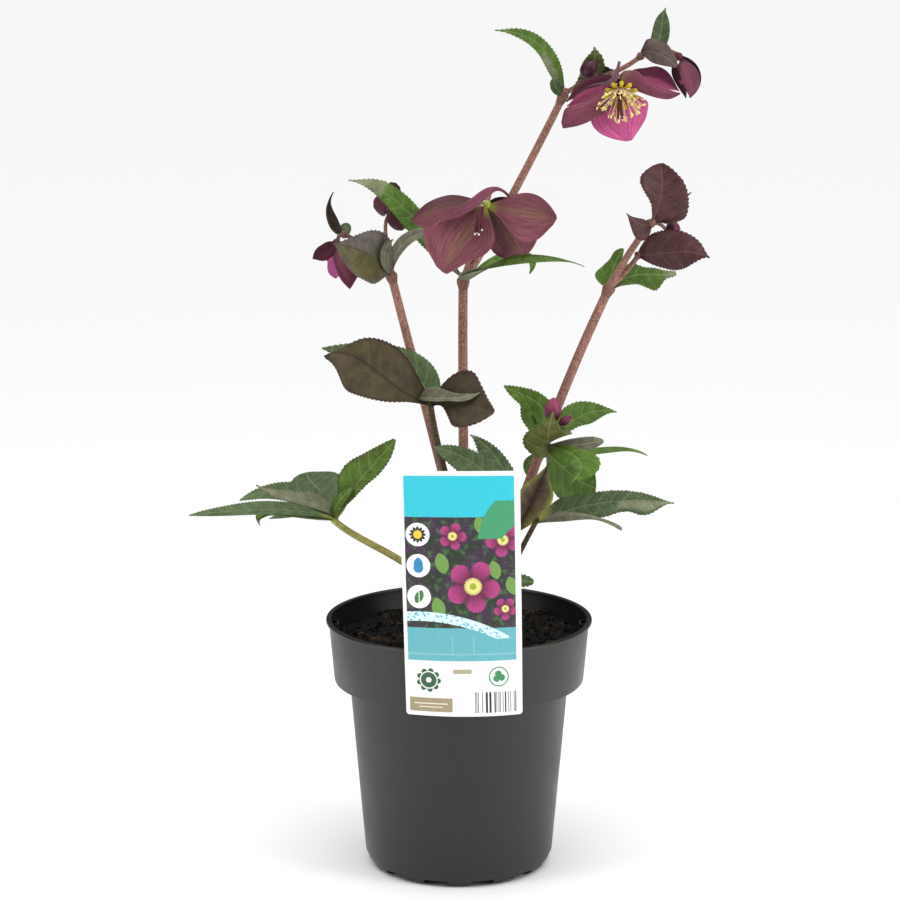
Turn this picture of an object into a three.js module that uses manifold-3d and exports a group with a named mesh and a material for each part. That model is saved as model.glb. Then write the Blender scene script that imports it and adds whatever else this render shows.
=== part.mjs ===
// A hellebore in its nursery pot: three flowering stems, the leaves from the root, the soil,
// the pot and the card label hooked over its rim. Millimetres, +Z up, front towards -Y.
// The origin is the centre of the pot's base, on the surface that the pot stands on.
import * as THREE from 'three';
import { mergeVertices } from 'three/addons/utils/BufferGeometryUtils.js';
import Module from 'manifold-3d';

const wasm = await Module();
wasm.setup();

// ---- Driving dimensions --------------------------------------------------------------------

const POT_HEIGHT = 190;
const RIM_RADIUS = 100;
const RIM_LIP = 3;
const COLLAR_TOP_RADIUS = 97.8;
const COLLAR_FOOT_RADIUS = 93.9;
const COLLAR_FOOT = 142;
const WALL_TOP_RADIUS = 82.5;
const WALL_FOOT_RADIUS = 71;
const WALL_FOOT = 10;
const BASE_RADIUS = 63;
const WALL = 1.9;
const FLOOR = 2.2;
const LEDGE_SLOPE = 1.2;
const BASE_EDGE = [67.5, 2.2];
const POT_SIDES = 32;

const DRAIN_COUNT = 12;
const DRAIN_WIDTH = 18;
const DRAIN_HEIGHT = 4.5;
const DRAIN_INNER_RADIUS = 56;

const POCKET_WIDTH = 13;
const POCKET_DEPTH = 3.4;
const POCKET_BAR = 1.3;
const POCKET_BOTTOM = 166;
const POCKET_TOP = 186;
const POCKET_TURNS = [0, Math.PI];

const SOIL_TOP = 175;
const SOIL_UNEVEN = 2.4;
const SOIL_RINGS = 4;

const LABEL_WIDTH = 86;
const LABEL_TOP = 324;
const LABEL_FOOT = 142.5;
const LABEL_THICKNESS = 0.8;
const LABEL_FRONT = -101.6;
const LABEL_LEAN = 3.8;
const LABEL_FOOT_BEND = 120;
const LABEL_TOP_BEND = 600;
const TONGUE_WIDTH = 15;
const TONGUE_TOP = 214;
const TONGUE_FOOT = 157;
const TONGUE_INSIDE = -91;

const STEM_FOOT = 150;
const GAP = 0.35;
const BLADE_THICKNESS = 0.8;
const ROOT_HALF_WIDTH = 1.2;
const TIP_HALF_WIDTH = 0.35;
const TOOTH = 0.04;
const BLADE_ROWS = 6;
const BLUNT_END = 1.6;
const END_ROW = 0.06;
const END_TAPER = 8;
const RIPPLE_TURN = 9;
const RIPPLE_SHIFT = 2;
const TUBE_SIDES = 6;

const COLOURS = {
  pot: { color: 0x4a4846, roughness: 0.5 },
  soil: { color: 0x2a211b, roughness: 1.0 },
  label: { color: 0xf2f2ee, roughness: 0.35 },
  stem: { color: 0x8a5f56, roughness: 0.6 },
  leaf: { color: 0x44592f, roughness: 0.5 },
  bronzeLeaf: { color: 0x4a4434, roughness: 0.45 },
  bronzeBract: { color: 0x55332f, roughness: 0.45 },
  oldSepal: { color: 0x6b3a44, roughness: 0.55 },
  freshSepal: { color: 0xa2447c, roughness: 0.5 },
  darkSepal: { color: 0x3f1f2b, roughness: 0.5 },
  stamen: { color: 0xe4d668, roughness: 0.6 },
  style: { color: 0x6a1c2c, roughness: 0.5 },
  bud: { color: 0x5b1c34, roughness: 0.45 },
};

// ---- Solids and nodes ----------------------------------------------------------------------

const plant = new THREE.Group();

function vector([x, y, z]) {
  return new THREE.Vector3(x, y, z);
}

function solidOf(geometry) {
  geometry.deleteAttribute('normal');
  geometry.deleteAttribute('uv');
  const merged = mergeVertices(geometry, 1e-4);
  const mesh = new wasm.Mesh({
    numProp: 3,
    vertProperties: new Float32Array(merged.attributes.position.array),
    triVerts: new Uint32Array(merged.index.array),
  });
  return new wasm.Manifold(mesh);
}

function solidFrom(points, faces) {
  const geometry = new THREE.BufferGeometry();
  geometry.setAttribute('position', new THREE.Float32BufferAttribute(points.flat(), 3));
  geometry.setIndex(faces.flat());
  return solidOf(geometry);
}

function fuse(solids) {
  return wasm.Manifold.union(solids);
}

// Only the largest body is kept, so a scrap that a cut leaves loose is dropped.
function largestBody(solid) {
  const bodies = solid.decompose();
  return bodies.reduce((best, body) => (body.volume() > best.volume() ? body : best));
}

function addNode(name, solid, look) {
  const { vertProperties, triVerts } = largestBody(solid).getMesh();
  const geometry = new THREE.BufferGeometry();
  geometry.setAttribute('position', new THREE.BufferAttribute(vertProperties, 3));
  geometry.setIndex(new THREE.BufferAttribute(triVerts, 1));
  geometry.computeVertexNormals();
  const material = new THREE.MeshStandardMaterial({ metalness: 0, ...look });
  const mesh = new THREE.Mesh(geometry, material);
  mesh.name = name;
  plant.add(mesh);
}

// ---- Curves, tubes and blades --------------------------------------------------------------

// The one polynomial that runs through all the points, spaced evenly from t = 0 to t = 1.
function along(points, t) {
  const last = points.length - 1;
  const place = new THREE.Vector3();
  points.forEach((point, i) => {
    let weight = 1;
    for (let j = 0; j <= last; j++) {
      if (j !== i) weight *= (t * last - j) / (i - j);
    }
    place.addScaledVector(vector(point), weight);
  });
  return place;
}

function directionAlong(points, t) {
  const step = 1e-4;
  return along(points, t + step).sub(along(points, t - step)).normalize();
}

// Rings of points joined into a closed skin, with a flat cap at each end.
function loft(rings) {
  const sides = rings[0].length;
  const faces = [];
  for (let i = 0; i < rings.length - 1; i++) {
    for (let j = 0; j < sides; j++) {
      const a = i * sides + j;
      const b = i * sides + ((j + 1) % sides);
      faces.push([a, b, b + sides], [a, b + sides, a + sides]);
    }
  }
  const end = (rings.length - 1) * sides;
  for (let j = 1; j < sides - 1; j++) {
    faces.push([0, j + 1, j], [end, end + j, end + j + 1]);
  }
  return solidFrom(rings.flat().map((point) => point.toArray()), faces);
}

// A round stem through the points, tapering from one radius to the other.
function tube({ path, from, to, steps = 6, sides = TUBE_SIDES }, grow = 0) {
  const rings = [];
  const upright = new THREE.Vector3(0, 1, 0);
  for (let i = 0; i <= steps; i++) {
    const t = i / steps;
    const ahead = directionAlong(path, t);
    const across = new THREE.Vector3().crossVectors(upright, ahead).normalize();
    const over = new THREE.Vector3().crossVectors(ahead, across);
    const radius = from + (to - from) * t + grow;
    const centre = along(path, t);
    rings.push(Array.from({ length: sides }, (_, j) => {
      const turn = (2 * Math.PI * j) / sides;
      return centre.clone()
        .addScaledVector(across, radius * Math.cos(turn))
        .addScaledVector(over, radius * Math.sin(turn));
    }));
  }
  return loft(rings);
}

// The width of a blade from its root to its tip, 1 where it is widest. A small first exponent
// makes a full root and a small second one a blunt tip.
function outline(t, [rise, fall]) {
  const widest = rise / (rise + fall);
  return (t / widest) ** rise * ((1 - t) / (1 - widest)) ** fall;
}

// 1 along most of a blade, closing to nothing over its first and its last part.
function taper(t, [rise, fall]) {
  return (1 - (1 - t) ** END_TAPER) ** rise * (1 - t ** END_TAPER) ** fall;
}

// A smooth curve through evenly spaced values, each cell a cubic set by its four nearest.
function through(values, t) {
  const last = values.length - 1;
  const cell = Math.min(Math.floor(t * last), last - 1);
  const part = t * last - cell;
  const [before, first, second, after] = [-1, 0, 1, 2].map((step) => (
    values[THREE.MathUtils.clamp(cell + step, 0, last)]
  ));
  const bend = 3 * (first - second) + after - before;
  const rise = 2 * before - 5 * first + 4 * second - after;
  return first + (part / 2) * (second - before + part * (rise + part * bend));
}

const bothSides = (value) => (Array.isArray(value) ? value : [value, value]);
const radians = THREE.MathUtils.degToRad;

// The rows of a blade: evenly spaced, with one more near a full root and near a blunt tip.
function rowsOf(half) {
  const even = Array.from({ length: BLADE_ROWS + 1 }, (_, i) => i / BLADE_ROWS);
  const fullRoot = half.some((side) => side[0] > BLUNT_END);
  const bluntTip = half.some((side) => side[side.length - 1] > BLUNT_END);
  const ends = [...(fullRoot ? [END_ROW] : []), ...(bluntTip ? [1 - END_ROW] : [])];
  return [...even, ...ends].sort((a, b) => a - b);
}

// A leaf, bract or sepal: a thin sheet along its rib. `half` is the half width, either the
// widest or a row of them from root to tip; `faces` the way the upper side looks at the root
// and at the tip, `fold` the angle at which the halves rise from the rib, and `cup` how much
// further they curl up. A pair is for the left and the right half, looking from root to tip.
function blade(spec) {
  const { rib, half, faces, fold = 0, cup = 0, shape = [0.6, 0.7], toothed, wave = 0 } = spec;
  const { columns = cup ? 4 : 2 } = spec;
  const listed = Array.isArray(half) && Array.isArray(half[0]);
  const spread = (k, t) => (
    listed ? through(half[k], t) * taper(t, shape) : bothSides(half)[k] * outline(t, shape)
  );
  const places = rowsOf(listed ? half : [[0]]);
  const rows = places.length - 1;
  const [facesRoot, facesTip = facesRoot] = faces.map((way) => vector(way).normalize());
  const upper = [];
  const lower = [];
  for (let i = 0; i <= rows; i++) {
    const t = places[i];
    const ahead = directionAlong(rib, t);
    const up = facesRoot.clone().lerp(facesTip, t);
    const right = new THREE.Vector3().crossVectors(ahead, up).normalize();
    const out = new THREE.Vector3().crossVectors(right, ahead);
    const place = along(rib, t);
    const notch = toothed && i > 0 && i < rows ? 1 + TOOTH * (i % 2 ? 1 : -1) : 1;
    for (let j = 0; j <= columns; j++) {
      const side = (2 * j) / columns - 1;
      const k = side < 0 ? 0 : 1;
      const narrowest = t < 0.5 ? ROOT_HALF_WIDTH : TIP_HALF_WIDTH;
      const width = Math.max(spread(k, t) * notch, narrowest);
      const start = radians(bothSides(fold)[k]);
      const curl = radians(bothSides(cup)[k]) + 1e-4;
      const reach = Math.abs(side);
      const lean = start + curl * reach;
      const sideways = (Math.sin(lean) - Math.sin(start)) / curl;
      const rise = (Math.cos(start) - Math.cos(lean)) / curl;
      const swing = Math.sin(RIPPLE_TURN * t + RIPPLE_SHIFT * k) * Math.sin(Math.PI * t);
      const ripple = wave * swing * reach ** 2;
      const point = place.clone()
        .addScaledVector(right, Math.sign(side) * sideways * width)
        .addScaledVector(out, rise * width + ripple);
      const normal = out.clone().multiplyScalar(Math.cos(lean))
        .addScaledVector(right, -Math.sign(side) * Math.sin(lean));
      upper.push(point.clone().addScaledVector(normal, BLADE_THICKNESS / 2));
      lower.push(point.clone().addScaledVector(normal, -BLADE_THICKNESS / 2));
    }
  }
  return sheet(upper, lower, rows, columns);
}

// Two grids of points, one above the other, closed into a plate. Both are split along the same
// diagonals, so the faces stay apart however the plate bends.
function sheet(upper, lower, rows, columns) {
  const line = columns + 1;
  const under = upper.length;
  const faces = [];
  for (let i = 0; i < rows; i++) {
    for (let j = 0; j < columns; j++) {
      const a = i * line + j;
      const b = a + 1;
      const c = a + line;
      const d = c + 1;
      faces.push([a, b, d], [a, d, c]);
      faces.push([under + a, under + d, under + b], [under + a, under + c, under + d]);
    }
  }
  const rim = [];
  for (let j = 0; j < columns; j++) rim.push(j);
  for (let i = 0; i < rows; i++) rim.push(i * line + columns);
  for (let j = columns; j > 0; j--) rim.push(rows * line + j);
  for (let i = rows; i > 0; i--) rim.push(i * line);
  rim.forEach((a, k) => {
    const b = rim[(k + 1) % rim.length];
    faces.push([a, under + a, under + b], [a, under + b, b]);
  });
  const points = [...upper, ...lower].map((point) => point.toArray());
  return solidFrom(points, faces);
}

// A bud: a profile turned round the line from its foot to its tip. `point` pulls the tip out.
function bud({ foot, tip, radius, point = 0.6, sides = 8, steps = 6 }) {
  const start = vector(foot);
  const axis = vector(tip).sub(start);
  const profile = [];
  for (let i = 0; i <= steps; i++) {
    const t = i / steps;
    const edge = i === 0 || i === steps;
    const width = edge ? 0 : radius * outline(t, [0.5, point]);
    profile.push(new THREE.Vector2(width, t * axis.length()));
  }
  const geometry = new THREE.LatheGeometry(profile, sides);
  const turn = new THREE.Quaternion()
    .setFromUnitVectors(new THREE.Vector3(0, 1, 0), axis.clone().normalize());
  geometry.applyQuaternion(turn);
  geometry.translate(start.x, start.y, start.z);
  return solidOf(geometry);
}

function ball(centre, radius) {
  const geometry = new THREE.IcosahedronGeometry(radius);
  geometry.translate(...centre);
  return solidOf(geometry);
}

// The clasping foot of a whorl of bracts: a short sleeve round the stem.
function sleeve(stem, t, length, thickness = 1.5) {
  const { path, from, to } = stem;
  const centre = along(path, t);
  const half = directionAlong(path, t).multiplyScalar(length / 2);
  const radius = from + (to - from) * t + thickness;
  const ends = [centre.clone().sub(half).toArray(), centre.clone().add(half).toArray()];
  return tube({ path: ends, from: radius, to: radius, steps: 1 });
}

// ---- Pot, soil and label -------------------------------------------------------------------

function latheUpright(profile, sides) {
  const outlinePoints = profile.map(([radius, height]) => new THREE.Vector2(radius, height));
  const geometry = new THREE.LatheGeometry(outlinePoints, sides);
  geometry.rotateX(Math.PI / 2);
  return solidOf(geometry);
}

function box(width, depth, height, x, y, z, turn = 0) {
  const geometry = new THREE.BoxGeometry(width, depth, height);
  geometry.translate(x, y, z);
  geometry.rotateZ(turn);
  return solidOf(geometry);
}

function potShell() {
  const ledge = COLLAR_FOOT + LEDGE_SLOPE;
  const lip = POT_HEIGHT - RIM_LIP;
  const profile = [
    [0, 0],
    [BASE_RADIUS, 0],
    BASE_EDGE,
    [WALL_FOOT_RADIUS, WALL_FOOT],
    [WALL_TOP_RADIUS, COLLAR_FOOT],
    [COLLAR_FOOT_RADIUS, ledge],
    [COLLAR_TOP_RADIUS, lip],
    [RIM_RADIUS, lip + 0.6],
    [RIM_RADIUS, POT_HEIGHT],
    [COLLAR_TOP_RADIUS - WALL, POT_HEIGHT],
    [COLLAR_FOOT_RADIUS - WALL, ledge + WALL],
    [WALL_TOP_RADIUS - WALL, COLLAR_FOOT + WALL],
    [WALL_FOOT_RADIUS - WALL, WALL_FOOT],
    [BASE_RADIUS, FLOOR],
    [0, FLOOR],
  ];
  return latheUpright(profile, POT_SIDES);
}

function collarRadius(height) {
  const ledge = COLLAR_FOOT + LEDGE_SLOPE;
  const share = (height - ledge) / (POT_HEIGHT - RIM_LIP - ledge);
  return COLLAR_FOOT_RADIUS + (COLLAR_TOP_RADIUS - COLLAR_FOOT_RADIUS) * share;
}

function drainSlot(index) {
  const depth = WALL_TOP_RADIUS - DRAIN_INNER_RADIUS;
  const turn = (2 * Math.PI * (index + 0.5)) / DRAIN_COUNT;
  const radius = DRAIN_INNER_RADIUS + depth / 2;
  return box(depth, DRAIN_WIDTH, 2 * DRAIN_HEIGHT, radius, 0, 0, turn);
}

// The block that a pocket for a label is cut in, moulded inside the rim.
function pocketBlock(turn, grow = 0) {
  const height = POCKET_TOP - POCKET_BOTTOM + 2 * grow;
  const middle = (POCKET_TOP + POCKET_BOTTOM) / 2;
  const outer = COLLAR_TOP_RADIUS;
  const inner = COLLAR_FOOT_RADIUS - POCKET_DEPTH - grow;
  const width = POCKET_WIDTH + 2 * grow;
  return box(outer - inner, width, height, (outer + inner) / 2, 0, middle, turn);
}

// The pocket is a bar that bridges two cheeks, open at its top and bottom.
function pocket(turn) {
  const height = 2 * (POCKET_TOP - POCKET_BOTTOM);
  const middle = (POCKET_TOP + POCKET_BOTTOM) / 2;
  const inner = COLLAR_FOOT_RADIUS - POCKET_DEPTH;
  const slotDepth = COLLAR_FOOT_RADIUS - inner - POCKET_BAR;
  const slotMiddle = inner + POCKET_BAR + slotDepth / 2;
  const slotWidth = POCKET_WIDTH - 2 * POCKET_BAR;
  const slot = box(slotDepth, slotWidth, height, slotMiddle, 0, middle, turn);
  return pocketBlock(turn).subtract(slot);
}

function pot() {
  const slots = Array.from({ length: DRAIN_COUNT }, (_, i) => drainSlot(i));
  const low = [collarRadius(POCKET_BOTTOM) - WALL / 2, POCKET_BOTTOM];
  const high = [collarRadius(POCKET_TOP) - WALL / 2, POCKET_TOP];
  const far = 2 * RIM_RADIUS;
  const beyondWall = latheUpright([low, [far, low[1]], [far, high[1]], high, low], POT_SIDES);
  const pockets = POCKET_TURNS.map((turn) => pocket(turn).subtract(beyondWall));
  return fuse([potShell(), ...pockets]).subtract(fuse(slots));
}

function soilHeight(x, y) {
  const broad = Math.sin(x / 17 + 0.8) * Math.cos(y / 14 - 0.4);
  const lumps = Math.sin(x / 6.1 - y / 7.3) * Math.cos(x / 9.7 + y / 5.2);
  return SOIL_TOP + SOIL_UNEVEN * (0.6 * broad + 0.4 * lumps);
}

function soil(cuts) {
  const slack = WALL + GAP;
  const ledge = COLLAR_FOOT + LEDGE_SLOPE + slack;
  const edge = collarRadius(SOIL_TOP) - slack;
  const profile = [
    [0, FLOOR + GAP],
    [BASE_RADIUS - GAP, FLOOR + GAP],
    [WALL_FOOT_RADIUS - slack, WALL_FOOT + GAP],
    [WALL_TOP_RADIUS - slack, ledge],
    [COLLAR_FOOT_RADIUS - slack, ledge + GAP],
    [edge, SOIL_TOP],
  ];
  for (let ring = SOIL_RINGS - 1; ring >= 0; ring--) {
    profile.push([(edge * ring) / SOIL_RINGS, SOIL_TOP]);
  }
  const outlinePoints = profile.map(([radius, height]) => new THREE.Vector2(radius, height));
  const geometry = new THREE.LatheGeometry(outlinePoints, POT_SIDES);
  geometry.rotateX(Math.PI / 2);
  const place = geometry.attributes.position;
  for (let i = 0; i < place.count; i++) {
    if (place.getZ(i) === SOIL_TOP) {
      place.setZ(i, soilHeight(place.getX(i), place.getY(i)));
    }
  }
  return solidOf(geometry).subtract(fuse(cuts));
}

// The card hangs outside the rim and bends round it at its foot, and leans a little to the left.
function labelPoint(across, height, behind) {
  const climb = (height - LABEL_FOOT) / (LABEL_TOP - LABEL_FOOT);
  const bend = 1 / (1 / LABEL_FOOT_BEND + (1 / LABEL_TOP_BEND - 1 / LABEL_FOOT_BEND) * climb);
  const angle = across / bend;
  const x = (bend - behind) * Math.sin(angle) + LABEL_LEAN * (1 - climb);
  const y = LABEL_FRONT + bend - (bend - behind) * Math.cos(angle);
  return new THREE.Vector3(x, y, height);
}

function cardSheet() {
  const rows = 6;
  const columns = 8;
  const front = [];
  const back = [];
  for (let i = 0; i <= rows; i++) {
    const height = LABEL_FOOT + ((LABEL_TOP - LABEL_FOOT) * i) / rows;
    for (let j = 0; j <= columns; j++) {
      const across = LABEL_WIDTH * (j / columns - 0.5);
      front.push(labelPoint(across, height, 0));
      back.push(labelPoint(across, height, LABEL_THICKNESS));
    }
  }
  return sheet(front, back, rows, columns);
}

// The tongue leaves the back of the card above the rim and goes down inside the pot.
function labelTongue(grow = 0) {
  const back = LABEL_FRONT + LABEL_THICKNESS;
  const thickness = LABEL_THICKNESS + 2 * grow;
  const half = TONGUE_WIDTH / 2 + grow;
  const centres = [
    [back - 0.4, TONGUE_TOP],
    [back + 0.4, TONGUE_TOP - 8],
    [TONGUE_INSIDE - 1, POT_HEIGHT + 4],
    [TONGUE_INSIDE, POT_HEIGHT - 6],
    [TONGUE_INSIDE, TONGUE_FOOT - grow],
  ];
  const rings = centres.map(([y, z]) => [
    new THREE.Vector3(LABEL_LEAN - half, y - thickness / 2, z),
    new THREE.Vector3(LABEL_LEAN - half, y + thickness / 2, z),
    new THREE.Vector3(LABEL_LEAN + half, y + thickness / 2, z),
    new THREE.Vector3(LABEL_LEAN + half, y - thickness / 2, z),
  ]);
  return loft(rings);
}

// ---- Stems ---------------------------------------------------------------------------------

const CENTRE_STEM = {
  lower: { path: [[4, 4, STEM_FOOT], [4, 8, 250], [3, 6, 350], [3, 2, 448]], from: 4, to: 3.4 },
  upper: { path: [[3, 2, 446], [17, 14, 466], [46, 20, 519], [78, 24, 582]], from: 3.2, to: 2.7 },
  topFlowerStalk: { path: [[78, 24, 581], [96, 22, 589], [116, 16, 598], [134, 14, 610]],
    from: 2, to: 1.7 },
  openFlowerStalk: { path: [[109, 18, 595], [114, 9, 596], [116, -3, 591]], from: 1.6, to: 1.6 },
  bellFlowerStalk: { path: [[133, 14, 609], [146, 12, 613], [158, 5, 611]], from: 1.6, to: 1.4 },
  topBudStalk: { path: [[78, 24, 581], [85, 20, 586], [91, 14, 592]], from: 1.5, to: 1.3 },
  frontFlowerStalk: { path: [[3, 2, 447], [14, 10, 480], [21, -6, 506], [20, -34, 508]],
    from: 2, to: 1.6 },
};

const LEFT_STEM = {
  main: { path: [[17, -4, STEM_FOOT], [0, -17, 252], [-24, -26, 354], [-50, -20, 455]],
    from: 4.2, to: 3 },
  outerFlowerStalk: { path: [[-50, -20, 453], [-68, -20, 472], [-82, -22, 482], [-88, -26, 479]],
    from: 1.8, to: 1.4 },
  backFlowerStalk: { path: [[-50, -20, 453], [-52, -14, 470], [-54, -2, 484], [-51, 8, 494]],
    from: 1.6, to: 1.3 },
};

const RIGHT_STEM = {
  main: { path: [[9, 14, STEM_FOOT], [38, 14, 246], [72, 18, 343], [113, 24, 439]],
    from: 4, to: 3.4 },
  upper: { path: [[112, 24, 437], [128, 24, 465], [143, 20, 487]], from: 2.8, to: 2.2 },
  side: { path: [[112, 24, 437], [126, 30, 450], [134, 26, 462]], from: 2.4, to: 1.8 },
  upperBudStalk: { path: [[142, 20, 485], [148, 26, 484], [153, 29, 480]], from: 1.5, to: 1.3 },
  midBudStalk: { path: [[64, 17, 322], [67, 10, 328], [69, 8, 337]], from: 1.6, to: 1.4 },
};

const stemSolid = (stem, grow = 0) => fuse(Object.values(stem).map((part) => tube(part, grow)));

// ---- Bracts on the flowering stems ---------------------------------------------------------

const CENTRE_LOWER_BRACTS = {
  left: { rib: [[2, 4, 448], [-21, 6, 475], [-46, 0, 504.5], [-81, 4, 519]],
    half: [[2, 6, 9, 11, 10, 5.5, 0.4], [2, 4.5, 6, 7.5, 8, 7, 0.4]],
    faces: [[0.3, -0.8, 0.5], [0.1, -0.8, 0.6]], fold: 8, toothed: true },
  right: { rib: [[3, -1.8, 447], [28, -41, 464], [60, -41, 468], [91, -20, 459]], half: [9, 9],
    faces: [[0, -0.3, 1], [0, -0.16, 1]], shape: [0.45, 0.85], toothed: true },
  keel: { rib: [[3, -1.8, 445.5], [10, -20, 453], [24, -31, 460.5]],
    half: [[4, 6, 6.5, 5, 3.5, 2, 0.4], [1, 2, 2.5, 2, 1.5, 1, 0.4]], faces: [[0, -0.9, -0.3]] },
  curled: { rib: [[5, 6, 444], [31, 34, 457.5], [51, 48, 457], [53, 50, 443]],
    half: [[1.5, 3, 3.5, 3.5, 3, 3.5, 2], [1.5, 3, 3.5, 3.5, 3, 3, 1.5]],
    faces: [[0.2, -0.3, 1], [0.1, -0.9, 0.3]], fold: 15, shape: [0.8, 0.5] },
};

const CENTRE_UPPER_BRACTS = {
  left: { rib: [[77, 24, 580], [69.5, 26, 602], [54, 26, 619], [26, 18, 627]],
    half: [[3, 8, 9, 8, 7, 5, 0.4], [1, 3, 4.5, 5.5, 6, 4.5, 0.4]],
    faces: [[0.5, -0.8, 0.5], [0.1, -0.7, 0.8]], fold: 10, toothed: true },
  small: { rib: [[77, 23, 580], [70.5, 17, 586], [69.5, 14, 592.5]], half: 4.5,
    faces: [[0.4, -0.9, 0.3]], shape: [0.5, 0.5] },
  behindBud: { rib: [[77, 28, 580], [91, 27.5, 590], [98, 20, 602], [98.5, 18, 615]],
    half: [[0.5, 1, 3.5, 6.5, 7.5, 6, 0.5], [1, 3, 6, 8, 8.5, 6, 0.5]], faces: [[0, -1, 0.25]],
    fold: 10, toothed: true },
  besideBud: { rib: [[79, 26, 581], [92, 30, 588], [103, 30, 594], [113, 28, 597.5]],
    half: [[0.5, 1.5, 6, 10, 10, 5, 0.4], [1, 2, 3, 3, 2.5, 1.5, 0.4]], faces: [[0.2, -1, 0.4]],
    fold: 8, toothed: true },
};

const CENTRE_TOP_BRACTS = {
  hood: { rib: [[132, 14, 611.5], [141, 4, 612.5], [149, -4, 609.5], [156.5, -10, 602.5]],
    half: [[12, 12, 10.5, 9.5, 7, 5.5, 3], [1, 5, 7.5, 8.5, 8, 6, 3]], faces: [[-0.1, -0.9, 0.4]],
    fold: -6, cup: [-14, 10], shape: [0.1, 0.4] },
  upright: { rib: [[133, 16, 611], [145, 22, 617], [148, 23, 630], [150.3, 18, 643]],
    half: [[1, 3, 6.3, 6.8, 6.5, 4.8, 0.5], [1, 3, 6, 6.5, 6, 4.4, 0.5]], faces: [[0, -1, 0.15]],
    fold: 14 },
};

const LEFT_TOP_BRACTS = {
  great: { rib: [[-50, -22, 454], [-61.8, -40, 468.5], [-75.3, -52, 476.5], [-90.5, -54, 480.5]],
    half: [[5, 15, 21, 22.5, 21, 13, 0.5], [6, 15, 18.5, 16.5, 10.5, 5, 0.5]],
    faces: [[0.2, -0.95, 0.4]], fold: 8, cup: 14, shape: [0.4, 0.8], toothed: true },
  folded: { rib: [[-50, -22, 454], [-54, -34, 464], [-53, -38, 474], [-47.5, -36, 481]],
    half: [[1, 2.5, 3.5, 4, 4, 3, 1], [1, 3, 3.5, 3.5, 3.5, 2.5, 1]], faces: [[0.5, -1, 0.3]],
    fold: 16 },
  arching: { rib: [[-49, -19, 454], [-45, -17, 470], [-35, -17, 480], [-21, -14, 483.8]],
    half: [[1, 3.5, 5, 5.2, 5, 4.5, 3], [1, 3.5, 5, 5.2, 5, 4.5, 3]],
    faces: [[-0.6, -0.9, 0.2], [-0.2, -0.8, 0.7]], fold: 10, shape: [0.5, 0.3] },
};

const OUTER_FLOWER_BRACTS = {
  spear: { rib: [[-83, -22, 482], [-91, -18, 488], [-94.8, -16, 499.5], [-91.3, -14, 512.5]],
    half: [[1, 3, 3.5, 3, 2.5, 1.2, 0.2], [1, 3.5, 4.8, 4.8, 3.2, 1, 0.2]],
    faces: [[0.3, -1, 0.2]], fold: 20 },
  small: { rib: [[-83, -22, 480.5], [-82.5, -16, 485], [-83, -13, 490]], half: 4,
    faces: [[0.3, -1, 0.2]], shape: [1, 0.5] },
};

const RIGHT_BRANCH_BRACTS = {
  left: { rib: [[113, 26, 437], [112.5, 33, 443], [117, 38, 454], [123, 40, 463.5]],
    half: [[1, 7, 11.5, 8, 5, 5, 3], [1, 3, 4, 4, 4, 3, 1.5]], faces: [[-0.1, -0.9, 0.4]],
    shape: [0.4, 0.4] },
  right: { rib: [[113, 26, 435], [131, 36, 444], [147, 42, 443.5], [163, 46, 444.5]],
    half: [[2, 7, 9.5, 5.5, 5, 3.5, 2.5], [2, 5.5, 7, 10, 12, 3, 3]], faces: [[0.1, -0.9, 0.5]],
    shape: [0.5, 0.3], toothed: true },
};

const RIGHT_TOP_BRACTS = {
  great: { rib: [[143.5, 20, 487], [147.5, 10, 502], [149, 6, 517], [147, 8, 531]],
    half: [[2, 4, 7, 13, 17.5, 18.5, 14], [16, 22, 21, 19, 15.5, 10, 5]],
    faces: [[0.2, -0.95, 0.2]], fold: 4, cup: 12, shape: [0.25, 0.4], toothed: true },
  left: { rib: [[142, 19, 484], [133, 12, 486], [123, 8, 494]],
    half: [[6, 11, 12, 9.5, 6, 3, 0.4], [2, 3, 4, 4, 3, 1.5, 0.4]], faces: [[0, -1, 0.1]] },
  behind: { rib: [[143, 21, 485], [157, 30, 495], [172, 30, 507]], half: 3, faces: [[0, -1, 0.2]],
    fold: 10, shape: [0.5, 1] },
};

const RIGHT_SIDE_BRACT = {
  glossy: { rib: [[133, 26, 461], [149, 10, 464], [166.2, 0, 467], [183.6, -4, 463]],
    half: [[10, 15, 16.5, 16.5, 14, 9.5, 1], [4, 8, 11, 13, 12, 8, 1]],
    faces: [[0.1, -1, 0], [0.1, -0.9, 0.4]], fold: -4, cup: -8, shape: [0.4, 0.8],
    toothed: true },
};

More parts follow.
